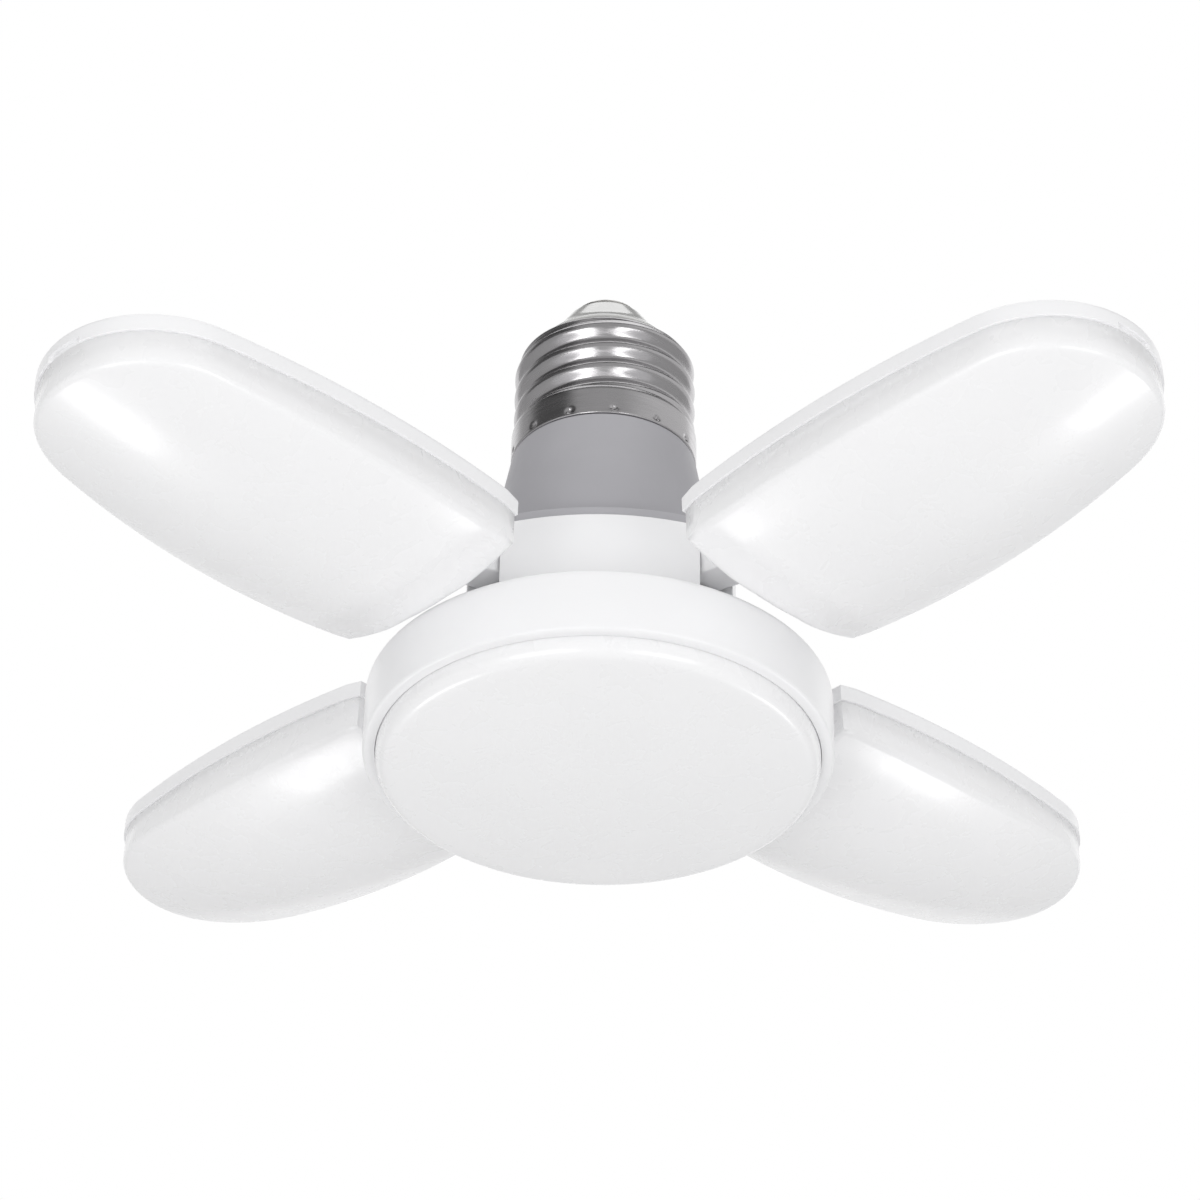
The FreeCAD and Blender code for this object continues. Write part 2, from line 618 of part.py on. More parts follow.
def crowned(plan, share, lift=0.0):
    """The plan drawn in towards the spine by a share of the way, laid on the crown and lifted."""
    ring = []
    for point in plan:
        spine_u = min(max(point.x, COVER_SPINE[0]), COVER_SPINE[1])
        u = point.x + (spine_u - point.x) * share
        v = point.y * (1 - share)
        ring.append(V(u, v, crown_z(u, v) + lift))
    return ring


def leaf_cover():
    """The milky cover: a crowned shell with a rounded rim and a lip that snaps in the tray."""
    plan = inset(leaf_plan(), COVER_SETBACK)
    inner = inset(plan, COVER_WALL + 0.8)
    lip = inset(leaf_plan(), TRAY_WALL + 0.1)
    edge = crowned(plan, 0)
    wall_end = [point + V(0, 0, COVER_ROUNDING) for point in edge]
    crown_start = crowned(inset(plan, COVER_ROUNDING), 0)
    rounding = []
    for t in (0.3, 0.65):
        weights = ((1 - t) ** 2, 2 * t * (1 - t), t ** 2)
        rounding.append([a * weights[0] + b * weights[1] + c * weights[2]
                         for a, b, c in zip(wall_end, edge, crown_start)])
    inside = [crowned(inner, 1, COVER_WALL), crowned(inner, 0.45, COVER_WALL),
              crowned(inner, 0, COVER_WALL + 0.6)]
    lip_top = -TRAY_HEIGHT + COVER_LIP
    rim = [level(inner, lip_top), level(lip, lip_top), level(lip, -TRAY_HEIGHT),
           level(plan, -TRAY_HEIGHT)]
    crown = [crowned(inset(plan, COVER_ROUNDING), share) for share in (0.35, 0.7, 1)]
    return skinned(inside + rim + [wall_end] + rounding + [crown_start] + crown)


def leaf_led_board():
    low = -TRAY_PLATE - BOARD_THICKNESS
    holes = [post(SCREW_R + 0.1, low, -TRAY_PLATE, u, v) for u, v in LEAF_SCREW_PLACES]
    return leaf_plate(LEAF_BOARD_SETBACK, low, -TRAY_PLATE).cut(holes)


def leaf_leds():
    seat = -TRAY_PLATE - BOARD_THICKNESS
    chips = []
    for v, count in zip(LEAF_LED_ROWS, LEAF_LED_COUNTS):
        for k in range(count):
            u = LEAF_LED_FIRST_U + LEAF_LED_PITCH_U * k
            chips.append(block((u - LED_LENGTH / 2, u + LED_LENGTH / 2),
                               (v - LED_WIDTH / 2, v + LED_WIDTH / 2), (seat - LED_HEIGHT, seat)))
    return Part.makeCompound(chips)


def leaf_board_screws():
    seat = -TRAY_PLATE - BOARD_THICKNESS
    screws = []
    for u, v in LEAF_SCREW_PLACES:
        screw = pan_head_screw(SCREW_R, SCREW_HEAD_R, SCREW_HEAD_HEIGHT, 2.1)
        screw.translate(V(u, v, seat))
        screws.append(screw)
    return Part.makeCompound(screws)


def place_leaf(shape, azimuth, raised):
    """Put a level leaf piece on its hinge, raise it and turn it to its azimuth."""
    piece = shape.copy()
    piece.translate(V(LEAF_INNER_R, 0, LEAF_TOP_Z))
    piece.rotate(V(HINGE_R, 0, HINGE_Z), Y_AXIS, -raised)
    piece.rotate(ORIGIN, Z_AXIS, azimuth)
    return piece


# ---- The lamp ----------------------------------------------------------------------------------
def lamp():
    """Every piece of the lamp by name."""
    pieces = {
        "screw_shell": screw_shell(),
        "cap_insulator": cap_insulator(),
        "centre_contact": centre_contact(),
        "neck_sleeve": neck_sleeve(),
        "hub_housing": hub_housing(),
        "housing_screws": housing_screws(),
        "disc_housing": disc_housing(),
        "disc_led_board": disc_led_board(),
        "disc_leds": disc_leds(),
        "disc_board_screws": disc_board_screws(),
        "disc_diffuser": disc_diffuser(),
        "driver_board": driver_board(),
        "driver_transformer": driver_transformer(),
        "driver_capacitor": driver_capacitor(),
        "driver_rectifier": driver_rectifier(),
        "driver_choke": driver_choke(),
        "fuse_resistor": fuse_resistor(),
        "live_lead": live_lead(),
        "neutral_lead": neutral_lead(),
        "disc_leads": disc_leads(),
    }
    leaf_pieces = {
        "shell": leaf_shell(),
        "cover": leaf_cover(),
        "led_board": leaf_led_board(),
        "leds": leaf_leds(),
        "board_screws": leaf_board_screws(),
    }
    for name, azimuth, raised in LEAVES:
        pieces["hinge_pin_" + name] = hinge_pin(azimuth)
        pieces["hinge_washers_" + name] = hinge_washers(azimuth)
        for kind, shape in leaf_pieces.items():
            pieces["leaf_" + kind + "_" + name] = place_leaf(shape, azimuth, raised)
    return pieces


os.makedirs("parts", exist_ok=True)
for node, solid in lamp().items():
    assert solid.isValid(), node
    solid.exportStep("parts/" + node + ".step")
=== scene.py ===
import json
import logging
import math
from collections.abc import Callable
from dataclasses import dataclass, field
from enum import Enum

import bmesh
import bpy
from mathutils import Matrix, Vector


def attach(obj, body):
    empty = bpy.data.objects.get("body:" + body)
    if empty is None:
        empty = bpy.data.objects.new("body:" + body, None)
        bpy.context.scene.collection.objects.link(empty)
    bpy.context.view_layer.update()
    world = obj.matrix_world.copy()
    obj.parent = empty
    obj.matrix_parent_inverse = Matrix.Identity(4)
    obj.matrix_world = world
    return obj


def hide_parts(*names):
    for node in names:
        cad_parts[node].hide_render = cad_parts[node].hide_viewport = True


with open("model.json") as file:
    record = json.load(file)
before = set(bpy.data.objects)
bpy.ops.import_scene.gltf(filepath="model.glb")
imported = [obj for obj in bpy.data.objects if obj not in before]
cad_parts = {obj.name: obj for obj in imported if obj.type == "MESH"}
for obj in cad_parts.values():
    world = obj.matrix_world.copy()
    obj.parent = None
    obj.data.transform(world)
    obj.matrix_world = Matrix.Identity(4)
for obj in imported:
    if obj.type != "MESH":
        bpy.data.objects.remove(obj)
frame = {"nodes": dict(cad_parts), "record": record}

LOG = logging.getLogger("lamp")
MM = 0.001
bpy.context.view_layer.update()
TURN = 2 * math.pi
MERGE_DISTANCE = 1e-6

Profile = list[tuple[float, float]]
Ring = list[Vector]


class Leaf(Enum):
    """The four leaves: name, azimuth of the outer end and how far it is raised, in degrees."""

    FRONT_LEFT = ("front_left", 225.0, 0.5)
    FRONT_RIGHT = ("front_right", 315.0, 3.3)
    BACK_RIGHT = ("back_right", 45.0, 3.4)
    BACK_LEFT = ("back_left", 135.0, 2.4)

    @property
    def label(self) -> str:
        """The leaf's name in the frame."""
        return self.value[0]


def softened(corners: list[tuple[float, float, float]], steps: int = 5) -> Profile:
    """Round the corners of a profile.

    Args:
        corners: (radius, z, softening) of each corner; a softening of 0 keeps it sharp.
        steps: runs in each rounded corner.

    Returns:
        The profile's points.
    """
    profile: Profile = []
    for i, (r, z, soft) in enumerate(corners):
        if soft == 0 or i in (0, len(corners) - 1):
            profile.append((r, z))
            continue
        here = Vector((r, z))
        to_last = Vector(corners[i - 1][:2]) - here
        to_next = Vector(corners[i + 1][:2]) - here
        most = 0.49
        start = here + to_last.normalized() * min(soft, to_last.length * most)
        end = here + to_next.normalized() * min(soft, to_next.length * most)
        for k in range(steps + 1):
            profile.append(tuple(bowed(start, here, end, k / steps)))
    return profile


def inset(plan: Ring, setback: float) -> Ring:
    """Move each side of a closed plan inwards, parallel to itself.

    Args:
        plan: the plan's corners, anticlockwise.
        setback: how far, in millimetres.

    Returns:
        The moved corners.
    """
    moved: Ring = []
    count = len(plan)
    for i, point in enumerate(plan):
        into = (point - plan[i - 1]).normalized()
        out = (plan[(i + 1) % count] - point).normalized()
        sides = [Vector((-run.y, run.x, 0)) for run in (into, out)]
        mitre = sides[0] + sides[1]
        moved.append(point + mitre * (setback / mitre.dot(sides[0])))
    return moved


def level(plan: Ring, z: float) -> Ring:
    """The plan laid at one height."""
    return [Vector((point.x, point.y, z)) for point in plan]


def bowed(start: Vector, corner: Vector, end: Vector, t: float) -> Vector:
    """The point at t on the curve from start to end that bends at a corner."""
    return start * (1 - t) ** 2 + corner * 2 * t * (1 - t) + end * t * t


def rounded(shape: bmesh.types.BMesh, width: float, crease: float, segments: int) -> None:
    """Round the sharp edges of a merged mesh.

    Args:
        shape: the mesh, in metres.
        width: width of the rounding in millimetres.
        crease: edges sharper than this many degrees are rounded.
        segments: runs in each rounding.
    """
    limit = math.radians(crease)
    sharp = [edge for edge in shape.edges
             if len(edge.link_faces) == 2 and edge.calc_face_angle() > limit]
    bmesh.ops.bevel(shape, geom=sharp, offset=width * MM, segments=segments, profile=0.5,
                    affect="EDGES", clamp_overlap=True)


@dataclass
class Draft:
    """A piece while it is being drawn: its points in millimetres and its faces."""

    points: list[Vector] = field(default_factory=list)
    faces: list[tuple[int, ...]] = field(default_factory=list)

    def ring(self, points: Ring) -> list[int]:
        """Add a ring of points and return their numbers."""
        self.points.extend(points)
        return list(range(len(self.points) - len(points), len(self.points)))

    def skin(self, rings: list[Ring], capped: bool = False, closed: bool = False) -> "Draft":
        """Join rings with a skin.

        Args:
            rings: rings with the same number of points.
            capped: whether both ends get a flat face.
            closed: whether the last ring is joined to the first.

        Returns:
            This draft.
        """
        rows = [self.ring(points) for points in rings]
        pairs = list(zip(rows, rows[1:]))
        if closed:
            pairs.append((rows[-1], rows[0]))
        for low, high in pairs:
            for k in range(len(low)):
                after = (k + 1) % len(low)
                self.faces.append((low[k], low[after], high[after], high[k]))
        if capped:
            self.faces.append(tuple(reversed(rows[0])))
            self.faces.append(tuple(rows[-1]))
        return self

    def turned(self, profile: Profile, segments: int, closed: bool = False) -> "Draft":
        """Turn a profile about the lamp's axis.

        Args:
            profile: (radius, z) points.
            segments: sides of the full turn.
            closed: whether the profile's last point is joined to its first.

        Returns:
            This draft.
        """
        turns = [TURN * k / segments for k in range(segments)]
        rings = [[Vector((r * math.cos(a), r * math.sin(a), z)) for a in turns] for r, z in profile]
        return self.skin(rings, closed=closed)

    def slab(self, outline: Ring, along: Vector) -> "Draft":
        """Draw a flat outline out along a vector into a closed slab."""
        return self.skin([outline, [point + along for point in outline]], capped=True)

    def moved(self, place: Matrix) -> "Draft":
        """Put every point through a placement and return this draft."""
        self.points = [place @ point for point in self.points]
        return self

    def piece(self, name: str, material: bpy.types.Material, crease: float = 35.0,
              bevel: float = 0.0) -> bpy.types.Object:
        """Turn the draft into an object.

        Args:
            name: the piece's name.
            material: its finish.
            crease: edges sharper than this many degrees stay sharp.
            bevel: width in millimetres of the rounding on such edges, 0 for none.

        Returns:
            The object, at the origin and with its place in its mesh.
        """
        mesh = bpy.data.meshes.new(name)
        mesh.from_pydata([point * MM for point in self.points], [], self.faces)
        shape = bmesh.new()
        shape.from_mesh(mesh)
        bmesh.ops.remove_doubles(shape, verts=shape.verts, dist=MERGE_DISTANCE)
        bmesh.ops.recalc_face_normals(shape, faces=shape.faces)
        if bevel:
            rounded(shape, bevel, crease, 3)
        shape.to_mesh(mesh)
        shape.free()
        return dressed(name, mesh, material, crease)


def dressed(name: str, mesh: bpy.types.Mesh, material: bpy.types.Material,
            crease: float) -> bpy.types.Object:
    """Smooth a mesh, give it its finish and put it in the scene.

    Args:
        name: the object's name.
        mesh: the mesh, in metres.
        material: its finish.
        crease: edges sharper than this many degrees stay sharp.

    Returns:
        The object.
    """
    mesh.materials.clear()
    mesh.materials.append(material)
    mesh.polygons.foreach_set("material_index", [0] * len(mesh.polygons))
    mesh.shade_smooth()
    mesh.set_sharp_from_angle(angle=math.radians(crease))
    piece = bpy.data.objects.new(name, mesh)
    bpy.context.scene.collection.objects.link(piece)
    return piece


def install(piece: bpy.types.Object, body: str, slot: str, *nodes: str) -> None:
    """Ride a piece on a body and let it stand for CAD nodes.

    Args:
        piece: the finished piece.
        body: the CAD body that it moves with.
        slot: the record's material slot; not used.
        *nodes: the CAD nodes that it replaces.
    """
    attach(piece, body)
    if nodes:
        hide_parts(*nodes)
    LOG.info("%s rides on %s, %d faces", piece.name, body, len(piece.data.polygons))


class Mix(Enum):
    """What a Mix node mixes: data type, places of its inputs, place of its output."""

    NUMBER = ("FLOAT", (0, 2, 3), 0)
    COLOUR = ("RGBA", (0, 6, 7), 2)


class Bench:
    """A node tree that a finish, a world or a shape is wired up on."""

    def __init__(self, tree: bpy.types.NodeTree) -> None:
        """Keep the tree."""
        self.tree = tree

    def feed(self, socket: bpy.types.NodeSocket, source: object) -> None:
        """Link an input or set it.

        Args:
            socket: the input.
            source: a socket to link or a value to set.
        """
        if isinstance(source, bpy.types.NodeSocket):
            self.tree.links.new(source, socket)
        else:
            socket.default_value = source

    def node(self, kind: str, sources: dict[str | int, object] | None = None,
             **settings: object) -> bpy.types.Node:
        """Add a node.

        Args:
            kind: the node's type name.
            sources: an input's name or place to what feeds it.
            **settings: properties of the node.

        Returns:
            The node.
        """
        made = self.tree.nodes.new(kind)
        for key, value in settings.items():
            setattr(made, key, value)
        for key, source in (sources or {}).items():
            self.feed(made.inputs[key], source)
        return made

    def noise(self, place: bpy.types.NodeSocket, scale: float, detail: float,
              distortion: float = 0.0) -> bpy.types.NodeSocket:
        """Value of a noise texture at a place."""
        return self.node("ShaderNodeTexNoise", {"Vector": place, "Scale": scale, "Detail": detail,
                                                "Distortion": distortion}).outputs["Fac"]

    def spread(self, value: bpy.types.NodeSocket, low: float, high: float, start: float = 0.3,
               end: float = 0.7) -> bpy.types.NodeSocket:
        """Map a value from start..end to low..high."""
        return self.node("ShaderNodeMapRange", {
            "Value": value, "From Min": start, "From Max": end, "To Min": low, "To Max": high,
        }).outputs["Result"]

    def blend(self, share: bpy.types.NodeSocket, first: object, second: object,
              mix: Mix = Mix.COLOUR) -> bpy.types.NodeSocket:
        """Mix two colours or numbers.

        Args:
            share: the second's share.
            first: a socket or a value.
            second: a socket or a value.
            mix: whether they are colours or numbers.

        Returns:
            The mix.
        """
        data_type, places, result = mix.value
        sources = dict(zip(places, (share, first, second)))
        return self.node("ShaderNodeMix", sources, data_type=data_type).outputs[result]


def shade(colour: tuple[float, float, float], factor: float) -> tuple[float, float, float, float]:
    """A colour made lighter or darker, with full alpha."""
    return (*[min(1.0, channel * factor) for channel in colour], 1.0)


class Grain(Enum):
    """How a surface's fine relief runs: scale along X, Y and Z."""

    EVEN = (1.0, 1.0, 1.0)
    ROLLED = (0.25, 0.25, 6.0)
    DRAWN = (1.0, 1.0, 0.08)


@dataclass(frozen=True)
class Finish:
    """One surface finish, with the variation that the real one shows."""

    name: str
    slot: str
    colour: tuple[float, float, float]
    roughness: float
    roughness_spread: float = 0.06
    mottle: float = 0.03
    mottle_scale: float = 60.0
    relief: float = 0.05
    relief_scale: float = 900.0
    grain: Grain = Grain.EVEN
    metallic: float = 0.0
    coat: float = 0.0
    scatter: float = 0.0
    wear: float = 0.04
    dust: float = 0.04
    ior: float = 1.46

    RUBBED = (0.52, 0.62)
    RUBBED_GAIN = 1.25
    DUST_SLOPE = (0.35, 0.95)
    DUST_THINNEST = 0.4
    DUST_COLOUR = (0.42, 0.40, 0.37, 1.0)
    SMOOTHEST = 0.02
    RELIEF_DISTANCE = 0.0002
    COAT_ROUGHNESS = 0.12
    SCATTER_RADIUS = (1.0, 0.95, 0.9)
    SCATTER_SCALE = 0.004

    def material(self) -> bpy.types.Material:
        """Wire up the finish.

        Returns:
            A material whose colour, roughness and relief vary over the surface.
        """
        made = bpy.data.materials.new(self.name)
        made.use_nodes = True
        made.diffuse_color = shade(self.colour, 1.0)
        bench = Bench(made.node_tree)
        shader = made.node_tree.nodes["Principled BSDF"].inputs
        place = bench.node("ShaderNodeTexCoord").outputs["Object"]
        mapped = bench.node("ShaderNodeMapping", {"Vector": place, "Scale": self.grain.value})
        grain = mapped.outputs["Vector"]

        cloud = bench.noise(place, self.mottle_scale, 5.0, 0.3)
        colour = bench.blend(bench.spread(cloud, 0.0, 1.0), shade(self.colour, 1 - self.mottle),
                             shade(self.colour, 1 + self.mottle))
        surface = bench.node("ShaderNodeNewGeometry").outputs
        rub = bench.spread(surface["Pointiness"], 0.0, self.wear, *self.RUBBED)
        colour = bench.blend(rub, colour, shade(self.colour, self.RUBBED_GAIN))
        facing = bench.node("ShaderNodeSeparateXYZ", {"Vector": surface["Normal"]})
        settled = bench.spread(facing.outputs["Z"], 0.0, self.dust, *self.DUST_SLOPE)
        patches = bench.spread(cloud, self.DUST_THINNEST, 1.0)
        dusty = bench.node("ShaderNodeMath", {0: settled, 1: patches}, operation="MULTIPLY")
        bench.feed(shader["Base Color"],
                   bench.blend(dusty.outputs["Value"], colour, self.DUST_COLOUR))

        smear = bench.noise(grain, self.mottle_scale * 4, 6.0, 0.5)
        low = max(self.SMOOTHEST, self.roughness - self.roughness_spread)
        bench.feed(shader["Roughness"],
                   bench.spread(smear, low, self.roughness + self.roughness_spread))

        relief = bench.node("ShaderNodeBump", {"Height": bench.noise(grain, self.relief_scale, 3.0),
                                               "Strength": self.relief,
                                               "Distance": self.RELIEF_DISTANCE})
        bench.feed(shader["Normal"], relief.outputs["Normal"])

        constants = {"Metallic": self.metallic, "IOR": self.ior, "Coat Weight": self.coat,
                     "Coat Roughness": self.COAT_ROUGHNESS}
        if self.scatter:
            constants |= {"Subsurface Weight": self.scatter,
                          "Subsurface Radius": self.SCATTER_RADIUS,
                          "Subsurface Scale": self.SCATTER_SCALE}
        for key, value in constants.items():
            bench.feed(shader[key], value)
        return made


class Palette:
    """Every finish of the lamp, made once and looked up by slot."""

    FINISHES: tuple[Finish, ...] = (
        Finish("white_housing", "white_plastic", (0.92, 0.92, 0.93), 0.34, mottle=0.012,
               relief=0.06, relief_scale=1400.0, coat=0.15),
        Finish("milky_cover", "milky_plastic", (0.92, 0.92, 0.928), 0.28, mottle=0.008,
               roughness_spread=0.05, relief=0.04, relief_scale=1400.0, coat=0.2),
        # neck: a grey well below the white plastic, partly the neck's own tone and partly painted
        # shade where it sits under the hub's edge
        Finish("neck_grey_and_painted_shade", "neck_plastic", (0.44, 0.435, 0.46), 0.46, mottle=0.03,
               relief=0.12, relief_scale=1800.0, wear=0.1),
        Finish("cap_plating", "cap_nickel", (0.50, 0.49, 0.50), 0.24, roughness_spread=0.09,
               mottle=0.05, mottle_scale=120.0, relief=0.05, relief_scale=260.0,
               grain=Grain.ROLLED, metallic=1.0, dust=0.0, ior=2.0),
        Finish("cap_glass", "cap_glaze", (0.56, 0.56, 0.55), 0.14, roughness_spread=0.05,
               mottle=0.06, mottle_scale=150.0, relief=0.08, relief_scale=320.0, coat=0.5),
        Finish("contact_metal", "contact_solder", (0.66, 0.65, 0.63), 0.3, roughness_spread=0.12,
               mottle=0.1, mottle_scale=260.0, relief=0.25, relief_scale=420.0, metallic=1.0,
               dust=0.02),
        Finish("board_mask", "board_aluminium", (0.82, 0.82, 0.80), 0.38, relief_scale=500.0),
        Finish("chip_resin", "led_resin", (0.86, 0.72, 0.18), 0.25, mottle=0.08,
               mottle_scale=700.0, scatter=0.2),
        Finish("zinc_plate", "screw_steel", (0.60, 0.61, 0.62), 0.3, roughness_spread=0.1,
               mottle=0.06, mottle_scale=400.0, grain=Grain.DRAWN, metallic=1.0, dust=0.0),
        Finish("washer_white", "washer_nylon", (0.78, 0.77, 0.73), 0.45, mottle_scale=300.0),
        Finish("laminate_green", "driver_laminate", (0.05, 0.20, 0.09), 0.35, mottle=0.12,
               mottle_scale=500.0, relief=0.1, relief_scale=1200.0),
        Finish("ferrite_black", "ferrite", (0.035, 0.035, 0.037), 0.6, mottle=0.2,
               mottle_scale=600.0, relief=0.2),
        Finish("sleeve_black", "capacitor_can", (0.03, 0.03, 0.035), 0.28, mottle=0.1),
        Finish("resistor_green", "resistor_glaze", (0.16, 0.25, 0.17), 0.4, mottle=0.1,
               relief=0.2, relief_scale=600.0),
        Finish("wire_red_skin", "wire_red", (0.45, 0.02, 0.02), 0.4, mottle=0.06),
        Finish("wire_black_skin", "wire_black", (0.02, 0.02, 0.02), 0.4, mottle=0.06),
    )

    def __init__(self) -> None:
        """Make the materials."""
        self.by_slot = {finish.slot: finish.material() for finish in self.FINISHES}

    def __getitem__(self, slot: str) -> bpy.types.Material:
        """The material of a slot."""
        return self.by_slot[slot]

    def dress_frame(self) -> None:
        """Give every CAD node the material of its slot."""
        for entry in frame["record"]["subparts"]:
            node = frame["nodes"][entry["node"]]
            material = self.by_slot[entry["material_slot"]]
            if not node.data.materials:
                node.data.materials.append(material)
            for k in range(len(node.data.materials)):
                node.data.materials[k] = material


class Sum:
    """A number in a geometry tree that can be reckoned with."""

    def __init__(self, bench: Bench, socket: bpy.types.NodeSocket) -> None:
        """Keep the tree and the socket that carries the number."""
        self.bench = bench
        self.socket = socket

    def reckon(self, operation: str, *others: object) -> "Sum":
        """Join this number with others through a Math node.

        Args:
            operation: the node's operation.
            *others: numbers, plain or in the tree.

        Returns:
            The result.
        """
        made = self.bench.node("ShaderNodeMath", operation=operation)
        for socket, source in zip(made.inputs, (self, *others)):
            self.bench.feed(socket, source.socket if isinstance(source, Sum) else source)
        return Sum(self.bench, made.outputs["Value"])

    def __add__(self, other: object) -> "Sum":
        """Sum."""
        return self.reckon("ADD", other)

    def __sub__(self, other: object) -> "Sum":
        """Difference."""
        return self.reckon("SUBTRACT", other)

    def __mul__(self, other: object) -> "Sum":
        """Product."""
        return self.reckon("MULTIPLY", other)

    def __truediv__(self, other: object) -> "Sum":
        """Quotient."""
        return self.reckon("DIVIDE", other)

    def rise(self, start: object, width: float) -> "Sum":
        """A smooth share that is 0 up to start and 1 from a width later."""
        share = ((self - start) / width).reckon("MAXIMUM", 0.0).reckon("MINIMUM", 1.0)
        return share * share * (share * -2.0 + 3.0)


@dataclass
class RolledSheet:
    """Geometry Nodes that roll a helical thread and a row of crimps into a turned sleeve."""

    pitch: float = 3.629
    depth: float = 1.1
    front_crest_z: float = 5.32
    thread_low: float = 4.7
    thread_high: float = 17.9
    fade_in: float = 0.9
    fade_out: float = 1.2
    crest_power: float = 0.8
    outer_r: float = 11.9
    outer_fade: float = 0.3
    crimp_count: float = 13.0
    crimp_depth: float = 0.42
    crimp_z: float = 0.95
    crimp_size: float = 0.5
    crimp_falloff: float = 1.6
    crimp_turn: float = 6.9

    def tree(self, material: bpy.types.Material) -> bpy.types.NodeTree:
        """Build the tree.

        Args:
            material: the finish that the tree sets.

        Returns:
            A geometry tree whose inputs are named for the sizes, in metres and degrees.
        """
        made = bpy.data.node_groups.new("rolled_sheet", "GeometryNodeTree")
        made.interface.new_socket("Sleeve", in_out="INPUT", socket_type="NodeSocketGeometry")
        for name in self.inputs():
            made.interface.new_socket(name, in_out="INPUT", socket_type="NodeSocketFloat")
        made.interface.new_socket("Sleeve", in_out="OUTPUT", socket_type="NodeSocketGeometry")
        bench = Bench(made)
        given = bench.node("NodeGroupInput")
        size = {name: Sum(bench, given.outputs[name]) for name in self.inputs()}
        spot = bench.node("GeometryNodeInputPosition").outputs["Position"]
        axes = bench.node("ShaderNodeSeparateXYZ", {"Vector": spot})
        x, y, z = (Sum(bench, axes.outputs[key]) for key in ("X", "Y", "Z"))
        radius = (x * x + y * y).reckon("SQRT")
        turn = y.reckon("ARCTAN2", x)

        front = turn + TURN / 4
        phase = (z - size["Front Crest Z"] - front * size["Pitch"] / TURN) / size["Pitch"]
        wave = (phase * TURN).reckon("COSINE")
        ridge = (wave * 0.5 + 0.5).reckon("POWER", self.crest_power) - 1.0
        fade_in = z.rise(size["Thread Low"], self.fade_in * MM)
        fade_out = (size["Thread High"] - z).rise(0.0, self.fade_out * MM)
        outer = radius.rise(self.outer_r * MM, self.outer_fade * MM)
        groove = ridge * size["Depth"] * fade_in * fade_out * outer

        crimp_angle = front - size["Crimp Turn"] * math.radians(1.0)
        along = (crimp_angle * size["Crimp Count"] / TURN + 0.5).reckon("FRACT") - 0.5
        across = along * TURN / size["Crimp Count"] * radius
        up = z - size["Crimp Z"]
        away = (across * across + up * up).reckon("SQRT") / size["Crimp Size"]
        bowl = (away * away * -self.crimp_falloff).reckon("EXPONENT")
        dent = bowl * size["Crimp Depth"] * -1.0
        shift = (groove + dent * outer) / radius

        push = bench.node("ShaderNodeCombineXYZ",
                          {"X": (x * shift).socket, "Y": (y * shift).socket})
        bent = bench.node("GeometryNodeSetPosition", {"Geometry": given.outputs["Sleeve"],
                                                      "Offset": push.outputs["Vector"]})
        real = bench.node("GeometryNodeRealizeInstances", {"Geometry": bent.outputs["Geometry"]})
        dressed_sheet = bench.node("GeometryNodeSetMaterial", {"Geometry": real.outputs["Geometry"],
                                                               "Material": material})
        bench.node("NodeGroupOutput", {"Sleeve": dressed_sheet.outputs["Geometry"]})
        return made

    def inputs(self) -> dict[str, float]:
        """The tree's inputs by name, in metres and degrees."""
        return {
            "Pitch": self.pitch * MM, "Depth": self.depth * MM,
            "Front Crest Z": self.front_crest_z * MM, "Thread Low": self.thread_low * MM,
            "Thread High": self.thread_high * MM, "Crimp Count": self.crimp_count,
            "Crimp Depth": self.crimp_depth * MM, "Crimp Z": self.crimp_z * MM,
            "Crimp Size": self.crimp_size * MM, "Crimp Turn": self.crimp_turn,
        }

    def roll(self, sleeve: bpy.types.Object, material: bpy.types.Material) -> bpy.types.Mesh:
        """Run the tree on a sleeve.

        Args:
            sleeve: the plain turned sleeve, which is removed afterwards.
            material: the finish that the tree sets.

        Returns:
            The rolled mesh.
        """
        tree = self.tree(material)
        modifier = sleeve.modifiers.new("rolled_sheet", "NODES")
        modifier.node_group = tree
        sizes = self.inputs()
        for item in tree.interface.items_tree:
            if item.in_out == "INPUT" and item.name in sizes:
                modifier[item.identifier] = sizes[item.name]
        bpy.context.view_layer.update()
        graph = bpy.context.evaluated_depsgraph_get()
        mesh = bpy.data.meshes.new_from_object(sleeve.evaluated_get(graph))
        sleeve.modifiers.remove(modifier)
        bpy.data.objects.remove(sleeve)
        return mesh


